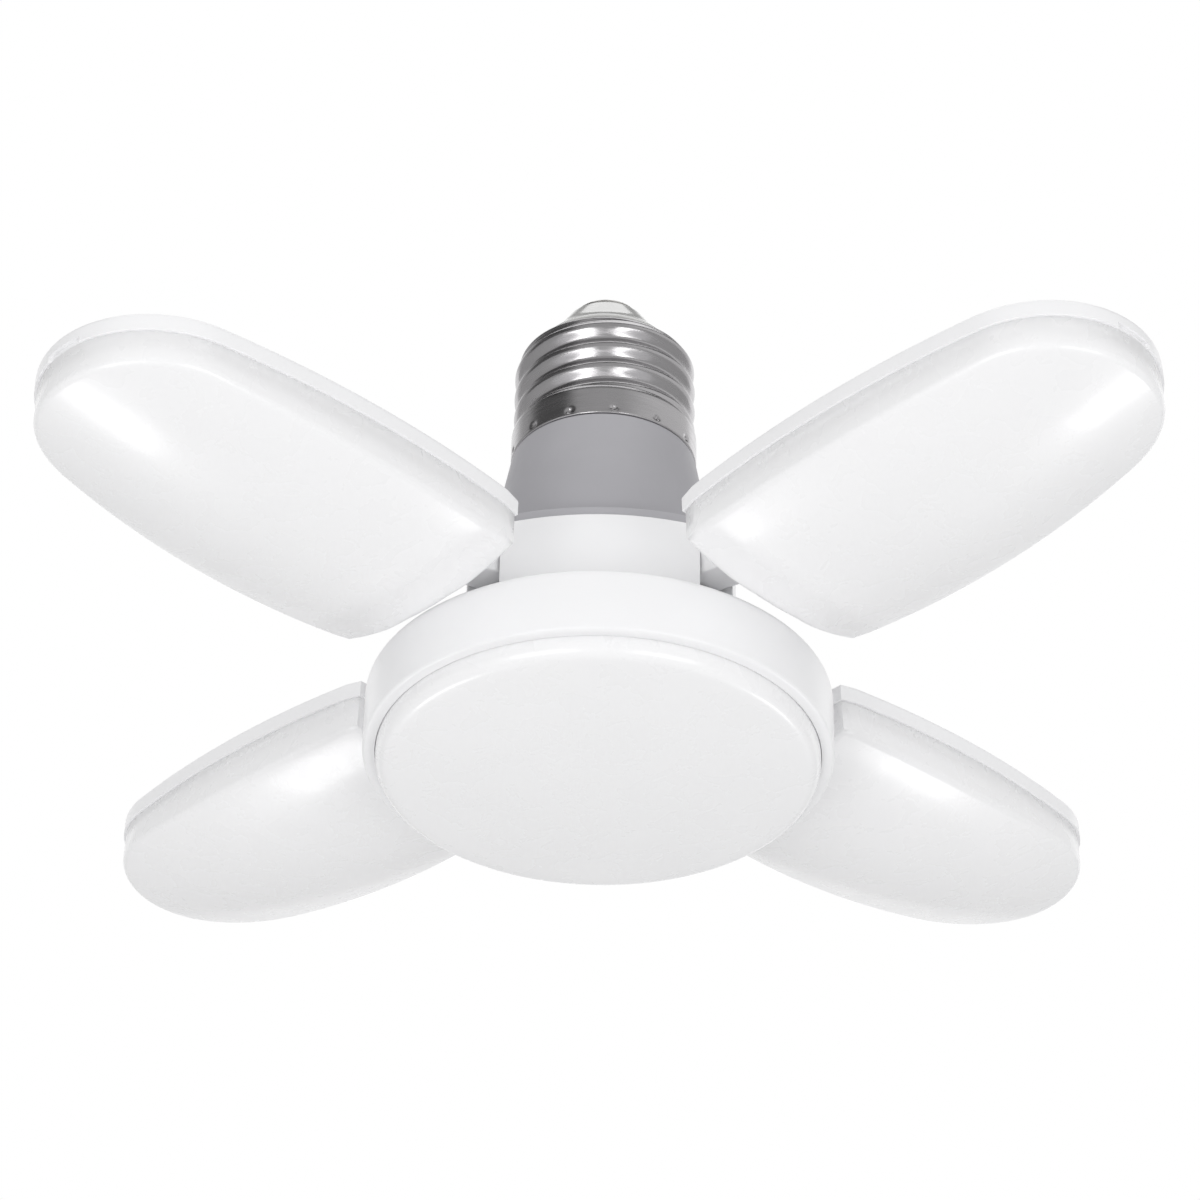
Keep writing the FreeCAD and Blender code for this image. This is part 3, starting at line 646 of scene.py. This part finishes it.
@dataclass
class ScrewCap:
    """The threaded shell, the glassy cone over it and the soldered contact."""

    collar_r: float = 13.4
    collar_height: float = 4.6
    crest_r: float = 13.15
    thread_top: float = 17.2
    inner_r: float = 11.4
    mouth_r: float = 12.6
    lip_r: float = 10.9
    lip_z: float = 19.3
    wall: float = 0.5
    contact_r: float = 4.8
    contact_top: float = 28.1
    ripple: float = 0.05
    glass_r: float = 11.3
    glass_knee_r: float = 8.6
    glass_top_r: float = 5.4
    glass_top: float = 26.7
    finest_run: float = 0.12
    segments: int = 340

    def build(self, palette: Palette) -> None:
        """Draw and install the cap's pieces.

        Args:
            palette: the lamp's finishes.
        """
        self.shell(palette)
        seat = self.thread_top - 2.4
        rim = self.lip_r - self.wall - 0.05
        glass = softened([
            (0, seat, 0), (self.glass_r, seat, 0.2), (self.glass_r, self.thread_top - 0.4, 0.2),
            (rim, self.lip_z - 0.2, 0.1), (rim, self.lip_z + 0.9, 0.7),
            (self.glass_knee_r, self.lip_z + 2.6, 1.5),
            (self.glass_top_r + 0.3, self.glass_top - 0.4, 0.6), (0, self.glass_top, 0),
        ])
        cone = Draft().turned(glass, 128).piece("cap_glass_cone", palette["cap_glaze"])
        install(cone, "lamp_body", "cap_glaze", "cap_insulator")
        install(self.contact(palette), "lamp_body", "contact_solder", "centre_contact")

    def shell(self, palette: Palette) -> None:
        """Turn the plain sleeve, then roll its thread and crimps.

        Args:
            palette: the lamp's finishes.
        """
        lip_inner_r = self.lip_r - self.wall
        rough = softened([
            (self.inner_r, 0.05, 0), (self.mouth_r, 0.05, 0.2), (self.collar_r, 0.0, 0.35),
            (self.collar_r, self.collar_height, 0.4), (self.crest_r, self.collar_height + 0.5, 0.3),
            (self.crest_r, self.thread_top, 0.9), (self.lip_r + 0.4, self.lip_z - 0.3, 0.8),
            (lip_inner_r + 0.05, self.lip_z, 0.25), (lip_inner_r + 0.02, self.lip_z - 0.5, 0),
        ])
        fine: Profile = []
        for start, end in zip(rough, rough[1:]):
            runs = max(1, round(math.dist(start, end) / self.finest_run))
            for k in range(runs):
                share = k / runs
                fine.append((start[0] + (end[0] - start[0]) * share,
                             start[1] + (end[1] - start[1]) * share))
        fine += [rough[-1], (self.inner_r, self.thread_top - 0.2)]
        nickel = palette["cap_nickel"]
        plain = Draft().turned(fine, self.segments, closed=True).piece("cap_sleeve", nickel)
        shell = dressed("cap_threaded_shell", RolledSheet().roll(plain, nickel), nickel, 50.0)
        install(shell, "lamp_body", "cap_nickel", "screw_shell")

    def contact(self, palette: Palette) -> bpy.types.Object:
        """Turn the contact button and ripple its hand-laid solder.

        Args:
            palette: the lamp's finishes.

        Returns:
            The contact.
        """
        profile = softened([
            (0, self.glass_top, 0), (self.contact_r, self.glass_top, 0.05),
            (self.contact_r, self.glass_top + 0.7, 0.5), (3.6, self.contact_top - 0.25, 0.8),
            (2.2, self.contact_top - 0.02, 0.6), (0, self.contact_top - 0.08, 0),
        ])
        draft = Draft().turned(profile, 96)
        for point in draft.points:
            turn = math.atan2(point.y, point.x)
            if point.z > self.glass_top + 0.9:
                point.z += self.ripple * math.sin(3 * turn + 0.6) * math.cos(point.x * 1.7)
        return draft.piece("cap_contact", palette["contact_solder"])


@dataclass
class NeckAndHub:
    """The tapered neck with its flange, grey partly of its own and partly as painted shade, and the
    white square hub under it.
    """

    neck_top_r: float = 13.3
    knee_r: float = 15.5
    knee_z: float = -12.0
    bottom_r: float = 15.9
    spigot_r: float = 11.2
    spigot_top: float = 12.0
    flange_thickness: float = 1.8
    flange_setback: float = 0.7
    hub_top: float = -21.8
    half_width: float = 19.0
    wall_half_length: float = 13.65
    bulge: float = 0.8
    corner_lean: float = 1.7
    lean_start_z: float = -29.0
    slot_width: float = 6.4
    notch_end_r: float = 14.6
    pin_half_length: float = 6.2
    hinge_r: float = 17.5
    hinge_z: float = -26.0
    pin_r: float = 1.5
    pin_play: float = 0.1
    bore_r: float = 9.4
    bore_end_z: float = -1.8
    hub_wall: float = 1.5
    side_steps: int = 32

    def build(self, palette: Palette) -> None:
        """Draw and install the neck, and dress the hub.

        Args:
            palette: the lamp's finishes.
        """
        flange_top = self.hub_top + self.flange_thickness
        profile = softened([
            (self.bore_r, self.spigot_top, 0), (self.spigot_r, self.spigot_top, 0.3),
            (self.spigot_r, 0.0, 0.05), (self.neck_top_r, 0.0, 0.45),
            (self.knee_r, self.knee_z, 3.0), (self.bottom_r, flange_top + 0.6, 0.4),
            (self.bottom_r, self.hub_top, 0.02), (12.4, self.hub_top, 0.02),
            (13.7, self.knee_z, 3.0), (11.3, self.bore_end_z, 0.3),
            (self.bore_r, self.bore_end_z, 0.1),
        ], steps=8)
        neck = Draft().turned(profile, 160, closed=True)
        flange = Draft().slab(level(self.flange_plan(), self.hub_top),
                              Vector((0, 0, self.flange_thickness)))
        # the grey finish here carries painted shade as well as the neck's own tone
        grey = palette["neck_plastic"]
        sleeve = neck.piece("neck_sleeve_skin", grey, crease=40.0)
        plate = flange.piece("neck_flange", grey, crease=40.0, bevel=0.18)
        lugs = self.keepers().piece("neck_pin_keepers", grey, bevel=0.12)
        install(sleeve, "lamp_body", "neck_plastic", "neck_sleeve")
        install(plate, "lamp_body", "neck_plastic")
        install(lugs, "lamp_body", "neck_plastic")
        hub = finished_copy("hub_housing", "hub_housing_skin", palette["white_plastic"], 0.3,
                            self.arch)
        install(hub, "lamp_body", "white_plastic", "hub_housing")

    def flange_plan(self) -> Ring:
        """Draw the flange: four bowed sides, notched at each hinge slot.

        Returns:
            The flange's outline.
        """
        reach = self.half_width - self.flange_setback
        half = self.wall_half_length
        drop = self.bulge + self.lean(half)
        radius = (half ** 2 + drop ** 2) / (2 * drop)
        notch = self.slot_width / 2
        mouth = half
        for _ in range(12):  # settles where a side meets the notch's mouth
            mouth = reach - radius + math.sqrt(radius ** 2 - mouth ** 2) - notch * math.sqrt(2)
        plan: Ring = []
        for quarter in range(4):
            turn = Matrix.Rotation(math.radians(90.0 * quarter), 4, "Z")
            for k in range(self.side_steps + 1):
                x = -mouth + 2 * mouth * k / self.side_steps
                y = -(reach - radius + math.sqrt(radius ** 2 - x ** 2))
                plan.append(turn @ Vector((x, y, 0)))
            corner = turn @ Matrix.Rotation(math.radians(-45.0), 4, "Z")
            for across in (-notch, notch):
                plan.append(corner @ Vector((self.notch_end_r, across, 0)))
        return plan

    def lean(self, along: float) -> float:
        """How far the top of a hub wall leans in, a distance along it from its middle."""
        return self.corner_lean * (along / self.wall_half_length) ** 2

    def arch(self, shape: bmesh.types.BMesh) -> None:
        """Lean the tops of the hub's walls in towards the corners.

        Args:
            shape: the merged hub, in metres.
        """
        parts = [*shape.verts, *shape.edges, *shape.faces]
        bmesh.ops.bisect_plane(shape, geom=parts, plane_co=(0, 0, self.lean_start_z * MM),
                               plane_no=(0, 0, 1))
        for vert in shape.verts:
            x, y, z = vert.co / MM
            if z < self.hub_top - 0.1 or max(abs(x), abs(y)) < self.half_width - self.hub_wall:
                continue
            if abs(y) > abs(x):
                vert.co.y -= math.copysign(self.lean(x) * MM, y)
            else:
                vert.co.x -= math.copysign(self.lean(y) * MM, x)

    def keepers(self) -> Draft:
        """Draw the ribs under the flange that hold the hinge pins down.

        Returns:
            Two ribs at each leaf.
        """
        draft = Draft()
        low = self.hinge_z + self.pin_r + self.pin_play
        half = self.pin_r - self.pin_play
        for azimuth in (45.0, 135.0, 225.0, 315.0):
            turn = Matrix.Rotation(math.radians(azimuth), 4, "Z")
            for side in (-1, 1):
                spans = sorted((side * self.slot_width / 2, side * self.pin_half_length))
                corners = [(self.hinge_r - half, spans[0]), (self.hinge_r + half, spans[0]),
                           (self.hinge_r + half, spans[1]), (self.hinge_r - half, spans[1])]
                outline = [turn @ Vector((x, y, low)) for x, y in corners]
                draft.slab(outline, Vector((0, 0, self.hub_top + 0.2 - low)))
        return draft


def finished_copy(node: str, name: str, material: bpy.types.Material, rounding: float,
                  reshape: Callable[[bmesh.types.BMesh], None]) -> bpy.types.Object:
    """Copy a CAD node's flat-sided mesh, merge it and round its edges.

    Args:
        node: the CAD node.
        name: the new piece's name.
        material: its finish.
        rounding: width of the rounded edges in millimetres.
        reshape: a change made to the merged mesh before its edges are rounded.

    Returns:
        The piece.
    """
    mesh = frame["nodes"][node].data.copy()
    mesh.name = name
    shape = bmesh.new()
    shape.from_mesh(mesh)
    bmesh.ops.remove_doubles(shape, verts=shape.verts, dist=MERGE_DISTANCE)
    bmesh.ops.dissolve_limit(shape, angle_limit=math.radians(0.6), verts=shape.verts,
                             edges=shape.edges)
    reshape(shape)
    rounded(shape, rounding, 30.0, 2)
    bmesh.ops.triangulate(shape, faces=shape.faces)
    shape.to_mesh(mesh)
    shape.free()
    for key in ("custom_normal", "sharp_face"):
        if key in mesh.attributes:
            mesh.attributes.remove(mesh.attributes[key])
    return dressed(name, mesh, material, 28.0)


@dataclass
class CentreLamp:
    """The round white pan and its milky domed lens."""

    pan_r: float = 32.4
    top: float = -40.2
    rim: float = -49.8
    back: float = 2.0
    lens_r: float = 30.6
    lens_depth: float = 4.5
    lens_side: float = 2.4
    lens_wall: float = 1.4
    skirt: float = 3.4
    seam: float = 0.07
    segments: int = 240

    def build(self, palette: Palette) -> None:
        """Draw and install the pan and the lens.

        Args:
            palette: the lamp's finishes.
        """
        inner = self.lens_r + self.seam
        inside_z = self.top - self.back
        pan = softened([
            (0, self.top, 0), (self.pan_r, self.top, 1.1), (self.pan_r, self.rim, 0.55),
            (inner, self.rim, 0.12), (inner, inside_z, 0.4), (0, inside_z, 0),
        ], steps=7)
        body = Draft().turned(pan, self.segments).piece("centre_pan", palette["white_plastic"])
        install(body, "lamp_body", "white_plastic", "disc_housing")
        dome = Draft().turned(self.lens_profile(), self.segments)
        lens = dome.piece("centre_lens", palette["milky_plastic"], 60.0)
        install(lens, "lamp_body", "milky_plastic", "disc_diffuser")

    def crown_z(self, radius: float) -> float:
        """Find the height of the lens's spherical crown.

        Args:
            radius: distance from the axis.

        Returns:
            Z of the crown's skin.
        """
        crown = self.lens_depth - self.lens_side
        sphere = (self.lens_r ** 2 + crown ** 2) / (2 * crown)
        return self.rim - self.lens_depth + sphere - math.sqrt(sphere ** 2 - radius ** 2)

    def lens_profile(self) -> Profile:
        """Draw the crown, the rounded shoulder, the skirt and the hollow behind them.

        Returns:
            The lens's profile.
        """
        outside = [(r, self.crown_z(r), 0.0) for r in range(0, 28, 3)]
        shoulder = self.crown_z(self.lens_r)
        inner = self.lens_r - self.lens_wall
        return softened(outside + [
            (self.lens_r, shoulder, 2.2), (self.lens_r, self.rim + self.skirt, 0.1),
            (inner, self.rim + self.skirt, 0.1), (inner, shoulder + self.lens_wall, 1.2),
            (0, self.crown_z(0) + self.lens_wall, 0.0),
        ], steps=8)


@dataclass
class LeafPanel:
    """One folding leaf: tray, hinge arm and crowned milky cover."""

    leaf: Leaf
    inner_r: float = 31.6
    top_z: float = -30.2
    length: float = 64.0
    half_width: float = 18.3
    widest_u: float = 22.0
    side_arc_r: float = 170.0
    corner_u: float = 2.6
    corner_half_width: float = 16.4
    tray_height: float = 2.8
    tray_edge: float = 0.8
    tray_wall: float = 1.4
    tray_floor: float = 1.5
    cover_setback: float = 0.35
    cover_wall: float = 1.4
    cover_depth: float = 12.3
    crown_u: float = 24.0
    across_r: float = 46.0
    along_r: float = 190.0
    rounding: float = 0.8
    rounding_over_disc: float = 1.5
    softest_v: tuple[float, float] = (4.0, 8.0)
    lip_setback: float = 1.5
    lip_height: float = 1.0
    notch_width: float = 5.0
    notch_height: float = 0.8
    notch_depth: float = 0.5
    spine: tuple[float, float] = (14.0, 46.0)
    hinge_r: float = 17.5
    hinge_z: float = -26.0
    knuckle_r: float = 3.5
    knuckle_heel: float = 13.5
    arm_width: float = 5.4
    arm_slope: float = 34.0
    knee_reach: float = 8.0
    spine_end: float = 13.0
    gusset_reach: float = 4.5
    gusset_spread: float = 5.0
    gusset_top: float = -0.4

    def build(self, palette: Palette) -> None:
        """Draw and install the leaf's pieces.

        Args:
            palette: the lamp's finishes.
        """
        label = self.leaf.label
        body = "leaf_" + label
        place = self.place()
        white, milky = palette["white_plastic"], palette["milky_plastic"]
        tray = self.tray().moved(place).piece("leaf_tray_" + label, white, 30.0)
        install(tray, body, "white_plastic", "leaf_shell_" + label)
        arm = self.arm().moved(place).piece("leaf_arm_" + label, white, 25.0, 0.3)
        install(arm, body, "white_plastic")
        cover = self.cover().moved(place).piece("leaf_lens_" + label, milky, 60.0)
        install(cover, body, "milky_plastic", "leaf_cover_" + label)

    def place(self) -> Matrix:
        """Find where the level leaf goes on its hinge.

        Returns:
            The placement of the raised leaf.
        """
        _, azimuth, raised = self.leaf.value
        hinge = Vector((self.hinge_r, 0, self.hinge_z))
        lift = (Matrix.Translation(hinge) @ Matrix.Rotation(math.radians(-raised), 4, "Y")
                @ Matrix.Translation(-hinge))
        turn = Matrix.Rotation(math.radians(azimuth), 4, "Z")
        return turn @ lift @ Matrix.Translation((self.inner_r, 0, self.top_z))

    def plan(self, setback: float = 0.0) -> Ring:
        """The leaf's plan: straight inner end, cut corners, side arcs and a round outer end.

        Args:
            setback: how far the plan is drawn in, in millimetres.

        Returns:
            The plan, clockwise from the outer end, with its inner end evenly divided.
        """
        side_steps, nose_steps, end_steps = 28, 72, 24
        centre_v = self.half_width - self.side_arc_r
        reach = self.length - self.widest_u
        nose_r = (self.side_arc_r ** 2 - centre_v ** 2 - reach ** 2)
        nose_r /= 2 * (self.side_arc_r - reach)
        nose_u = self.length - nose_r
        lean = math.atan2(-centre_v, nose_u - self.widest_u)
        joint_u = nose_u + nose_r * math.cos(lean)
        side = [Vector((0, self.corner_half_width, 0))]
        for k in range(side_steps):
            u = self.corner_u + (joint_u - self.corner_u) * k / side_steps
            across = math.sqrt(self.side_arc_r ** 2 - (u - self.widest_u) ** 2)
            side.append(Vector((u, centre_v + across, 0)))
        nose = []
        for k in range(nose_steps + 1):
            angle = lean - 2 * lean * k / nose_steps
            nose.append(Vector((nose_u + nose_r * math.cos(angle), nose_r * math.sin(angle), 0)))
        far = [Vector((point.x, -point.y, 0)) for point in reversed(side)]
        outline = inset(list(reversed(side + nose + far)), setback)
        first, last = outline[0], outline[-1]
        end = [last.lerp(first, k / end_steps) for k in range(1, end_steps)]
        return outline + end

    def notched(self, ring: Ring) -> Ring:
        """Push a ring in at the tip, where the cover is pried off.

        Args:
            ring: a ring of the tray.

        Returns:
            The ring with its notch.
        """
        cut = []
        for point in ring:
            at_tip = point.x > self.length / 2 and abs(point.y) < self.notch_width / 2
            cut.append(point - Vector((self.notch_depth if at_tip else 0.0, 0, 0)))
        return cut

    def tray(self) -> Draft:
        """Draw the shallow tray, rounded round its back.

        Returns:
            The tray of the level leaf.
        """
        low = -self.tray_height
        notch_top = low + self.notch_height
        pocket, foot, full = self.plan(self.tray_wall), self.plan(0.06), self.plan()
        rings = [level(pocket, -self.tray_floor), level(pocket, low),
                 self.notched(level(foot, low)), self.notched(level(full, low + 0.06)),
                 self.notched(level(full, notch_top)), level(full, notch_top + 0.03)]
        for k in range(7):
            lean = math.pi / 2 * k / 6
            setback = self.tray_edge * (1 - math.cos(lean))
            rings.append(level(self.plan(setback), -self.tray_edge * (1 - math.sin(lean))))
        return Draft().skin(rings, capped=True)

    def arm(self) -> Draft:
        """Draw the knuckle, the arm and the spine on the tray's back, with two gussets.

        Returns:
            The arm of the level leaf.
        """
        hinge = Vector((self.hinge_r - self.inner_r, self.hinge_z - self.top_z))
        slope = math.radians(self.arm_slope)
        start = math.radians(270.0 - self.knuckle_heel)
        end = math.pi / 2 - slope
        outline = []
        for k in range(25):
            angle = start + (end - start) * k / 24
            outline.append(hinge + Vector((math.cos(angle), math.sin(angle))) * self.knuckle_r)
        knee_x = hinge.x + self.knee_reach
        knee_z = outline[-1].y - (knee_x - outline[-1].x) * math.tan(slope)
        outline += [Vector(corner) for corner in (
            (knee_x, knee_z), (self.spine_end, 0.02), (self.spine_end, -0.6), (1.1, -0.6),
            (1.1, -self.tray_height), (0, -self.tray_height))]
        half = self.arm_width / 2
        drawn = Draft().slab([Vector((p.x, -half, p.y)) for p in outline],
                             Vector((0, self.arm_width, 0)))
        for side in (-1, 1):
            near = side * self.arm_width * 0.3
            far = side * (half + self.gusset_spread)
            web = [Vector((u, v, self.gusset_top))
                   for u, v in ((-self.gusset_reach, near), (0.6, near), (0.6, far))]
            drawn.slab(web, Vector((0, 0, -self.gusset_top - self.tray_height)))
        return drawn

    def crown_z(self, u: float, v: float) -> float:
        """Depth of the cover's skin: an arc across the leaf swept along a much larger arc."""
        sweep = self.along_r - self.across_r + math.sqrt(self.across_r ** 2 - v ** 2)
        return -self.cover_depth + self.along_r - math.sqrt(sweep ** 2 - (u - self.crown_u) ** 2)

    def crowned(self, plan: Ring, share: float, lift: float = 0.0) -> Ring:
        """Draw a plan in towards the spine and lay it on the crown.

        Args:
            plan: the plan.
            share: how far it is drawn in, 1 for all the way.
            lift: height over the crown's skin.

        Returns:
            The ring on the crown.
        """
        ring = []
        for point in plan:
            u = point.x + (min(max(point.x, self.spine[0]), self.spine[1]) - point.x) * share
            v = point.y * (1 - share)
            ring.append(Vector((u, v, self.crown_z(u, v) + lift)))
        return ring

    def softness(self, point: Vector) -> float:
        """Find how far a rim point takes the softer rounding.

        Args:
            point: a point of the plan.

        Returns:
            1 over the disc, 0 elsewhere.
        """
        if point.x > 1.0:
            return 0.0
        return min(1.0, max(0.0, (self.softest_v[1] - abs(point.y)) / self.softest_v[0]))

    def cover(self) -> Draft:
        """Draw the crowned shell with a rounded rim and a lip that snaps in the tray.

        Returns:
            The cover of the level leaf.
        """
        plan = self.plan(self.cover_setback)
        inner = self.plan(self.cover_setback + self.cover_wall + 0.8)
        lip = self.plan(self.lip_setback)
        edge = self.crowned(plan, 0)
        full = self.plan(self.cover_setback + self.rounding)
        soft = self.plan(self.cover_setback + self.rounding_over_disc)
        shares = [self.softness(point) for point in plan]
        crown_plan = [a.lerp(b, share) for a, b, share in zip(full, soft, shares)]
        reach = self.rounding_over_disc - self.rounding
        wall_end = [point + Vector((0, 0, self.rounding + reach * share))
                    for point, share in zip(edge, shares)]
        crown_start = self.crowned(crown_plan, 0)
        rings = [self.crowned(inner, share, self.cover_wall) for share in (1, 0.7, 0.4, 0)]
        lip_top = -self.tray_height + self.lip_height
        rings += [level(inner, lip_top), level(lip, lip_top), level(lip, -self.tray_height + 0.02),
                  level(self.plan(self.cover_setback + 0.05), -self.tray_height + 0.01),
                  level(plan, -self.tray_height - 0.03)]
        steps = 10
        for k in range(steps + 1):
            rings.append([bowed(a, b, c, k / steps)
                          for a, b, c in zip(wall_end, edge, crown_start)])
        rings += [self.crowned(crown_plan, k / 12) for k in range(1, 13)]
        return Draft().skin(rings)


@dataclass
class Studio:
    """Floor, soft light and the camera under the hanging lamp."""

    distance: float = 0.569
    elevation: float = 35.136
    azimuth: float = 0.775
    aim_z: float = -0.015
    pan: float = 0.015
    tilt: float = -0.670
    roll: float = -1.045
    focal_px: float = 4002.0
    picture_px: float = 1200.0
    sensor: float = 36.0
    floor_z: float = -1.3
    floor_half: float = 40.0
    sky_light: float = 0.50
    side_light: float = 0.35
    front_light: float = 0.32
    mirror_light: float = 0.5
    card_light: float = 0.25
    wall_light: float = 0.6
    ceiling_depth: float = 0.88
    flag_depth: float = 0.8
    ceiling_edge: tuple[float, float] = (0.66, 0.18)
    flag_side: tuple[float, float] = (0.42, 0.2)
    flag_front: tuple[float, float] = (-0.3, 0.3)
    card_edge: tuple[float, float] = (0.25, 0.45)
    wall_edge: tuple[float, float] = (0.42, 0.26)

    def build(self) -> None:
        """Set the camera, the floor, the lights and the surroundings."""
        self.camera()
        self.floor()
        self.soft_box("left_box", (-0.42, -0.76, -0.66), 0.55, 3.2)
        self.soft_box("right_box", (0.50, -0.72, -0.64), 0.50, 2.7)
        self.soft_box("left_strip", (-0.36, 0.52, -0.80), 0.20, 0.9)
        self.soft_box("right_strip", (0.46, 0.50, -0.76), 0.20, 0.9)
        self.soft_box("top_box", (0.0, 0.1, 1.4), 1.2, 5.5)
        self.surroundings()

    def camera(self) -> None:
        """Put the camera where the photograph was taken from."""
        low, turn = math.radians(self.elevation), math.radians(self.azimuth)
        aim = Vector((0, 0, self.aim_z))
        across = math.cos(low)
        out = Vector((math.sin(turn) * across, -math.cos(turn) * across, -math.sin(low)))
        forward = -out
        right = forward.cross(Vector((0, 0, 1))).normalized()
        up = right.cross(forward)
        base = Matrix((right, up, forward))
        base = (Matrix.Rotation(math.radians(self.roll), 3, "Z")
                @ Matrix.Rotation(math.radians(self.tilt), 3, "X")
                @ Matrix.Rotation(math.radians(self.pan), 3, "Y") @ base)
        axes = Matrix((base[0], base[1], -base[2])).transposed()
        lens = bpy.data.cameras.new("camera")
        lens.sensor_fit = "HORIZONTAL"
        lens.sensor_width = self.sensor
        lens.lens = self.focal_px / self.picture_px * self.sensor
        lens.clip_start = 0.01
        camera = bpy.data.objects.new("camera", lens)
        camera.matrix_world = Matrix.Translation(aim + out * self.distance) @ axes.to_4x4()
        bpy.context.scene.collection.objects.link(camera)
        bpy.context.scene.camera = camera

    def floor(self) -> None:
        """A plain pale floor far below the lamp."""
        half = self.floor_half / MM
        corners = [Vector((x, y, self.floor_z / MM)) for x, y in
                   ((-half, -half), (half, -half), (half, half), (-half, half))]
        pale = Finish("floor_paint", "", (0.70, 0.70, 0.70), 0.7, mottle=0.01, mottle_scale=3.0,
                      dust=0.0).material()
        ground = Draft(corners, [(0, 1, 2, 3)]).piece("floor", pale)

    def soft_box(self, name: str, place: tuple[float, float, float], size: float,
                 power: float) -> None:
        """A square area light turned towards the lamp.

        Args:
            name: the light's name.
            place: where it stands, in metres.
            size: its side in metres.
            power: its power in watts.
        """
        light = bpy.data.lights.new(name, "AREA")
        light.size = size
        light.energy = power
        stand = bpy.data.objects.new(name, light)
        away = Vector(place) - Vector((0, 0, -0.03))
        facing = away.to_track_quat("Z", "Y").to_matrix().to_4x4()
        stand.matrix_world = Matrix.Translation(place) @ facing
        bpy.context.scene.collection.objects.link(stand)

    def surroundings(self) -> None:
        """White studio walls: seen as plain white, and lighting the lamp with soft falloff."""
        world = bpy.data.worlds.new("studio")
        bpy.context.scene.world = world
        world.use_nodes = True
        bench = Bench(world.node_tree)
        backdrop = world.node_tree.nodes["Background"].inputs
        way = bench.node("ShaderNodeTexCoord").outputs["Generated"]
        axes = bench.node("ShaderNodeSeparateXYZ", {"Vector": way})
        x, y, z = (Sum(bench, axes.outputs[key]) for key in ("X", "Y", "Z"))
        soft = x.reckon("ABSOLUTE") * self.side_light - y * self.front_light + self.sky_light
        ceiling = z.rise(*self.ceiling_edge) * -self.ceiling_depth + 1.0
        flag = (x * -1.0).rise(*self.flag_side) * (y * -1.0).rise(*self.flag_front)
        card = x.rise(*self.card_edge) * self.card_light + self.mirror_light
        wall = y.rise(*self.wall_edge) * self.wall_light
        mirrored = (card + wall) * ceiling * (flag * -self.flag_depth + 1.0)
        rays = bench.node("ShaderNodeLightPath").outputs
        lit = bench.blend(rays["Is Glossy Ray"], soft.socket, mirrored.socket, Mix.NUMBER)
        bench.feed(backdrop["Strength"], bench.blend(rays["Is Camera Ray"], lit, 1.0, Mix.NUMBER))
        bench.feed(backdrop["Color"], (1.0, 1.0, 1.0, 1.0))


def main() -> None:
    """Build the lamp's sub-assemblies in order, dress the frame and set the studio."""
    logging.basicConfig(level=logging.INFO, format="%(message)s")
    bpy.context.scene.view_settings.view_transform = "Standard"
    palette = Palette()
    palette.dress_frame()
    ScrewCap().build(palette)
    NeckAndHub().build(palette)
    CentreLamp().build(palette)
    for leaf in Leaf:
        LeafPanel(leaf).build(palette)
    Studio().build()


if __name__ == "__main__":
    main()
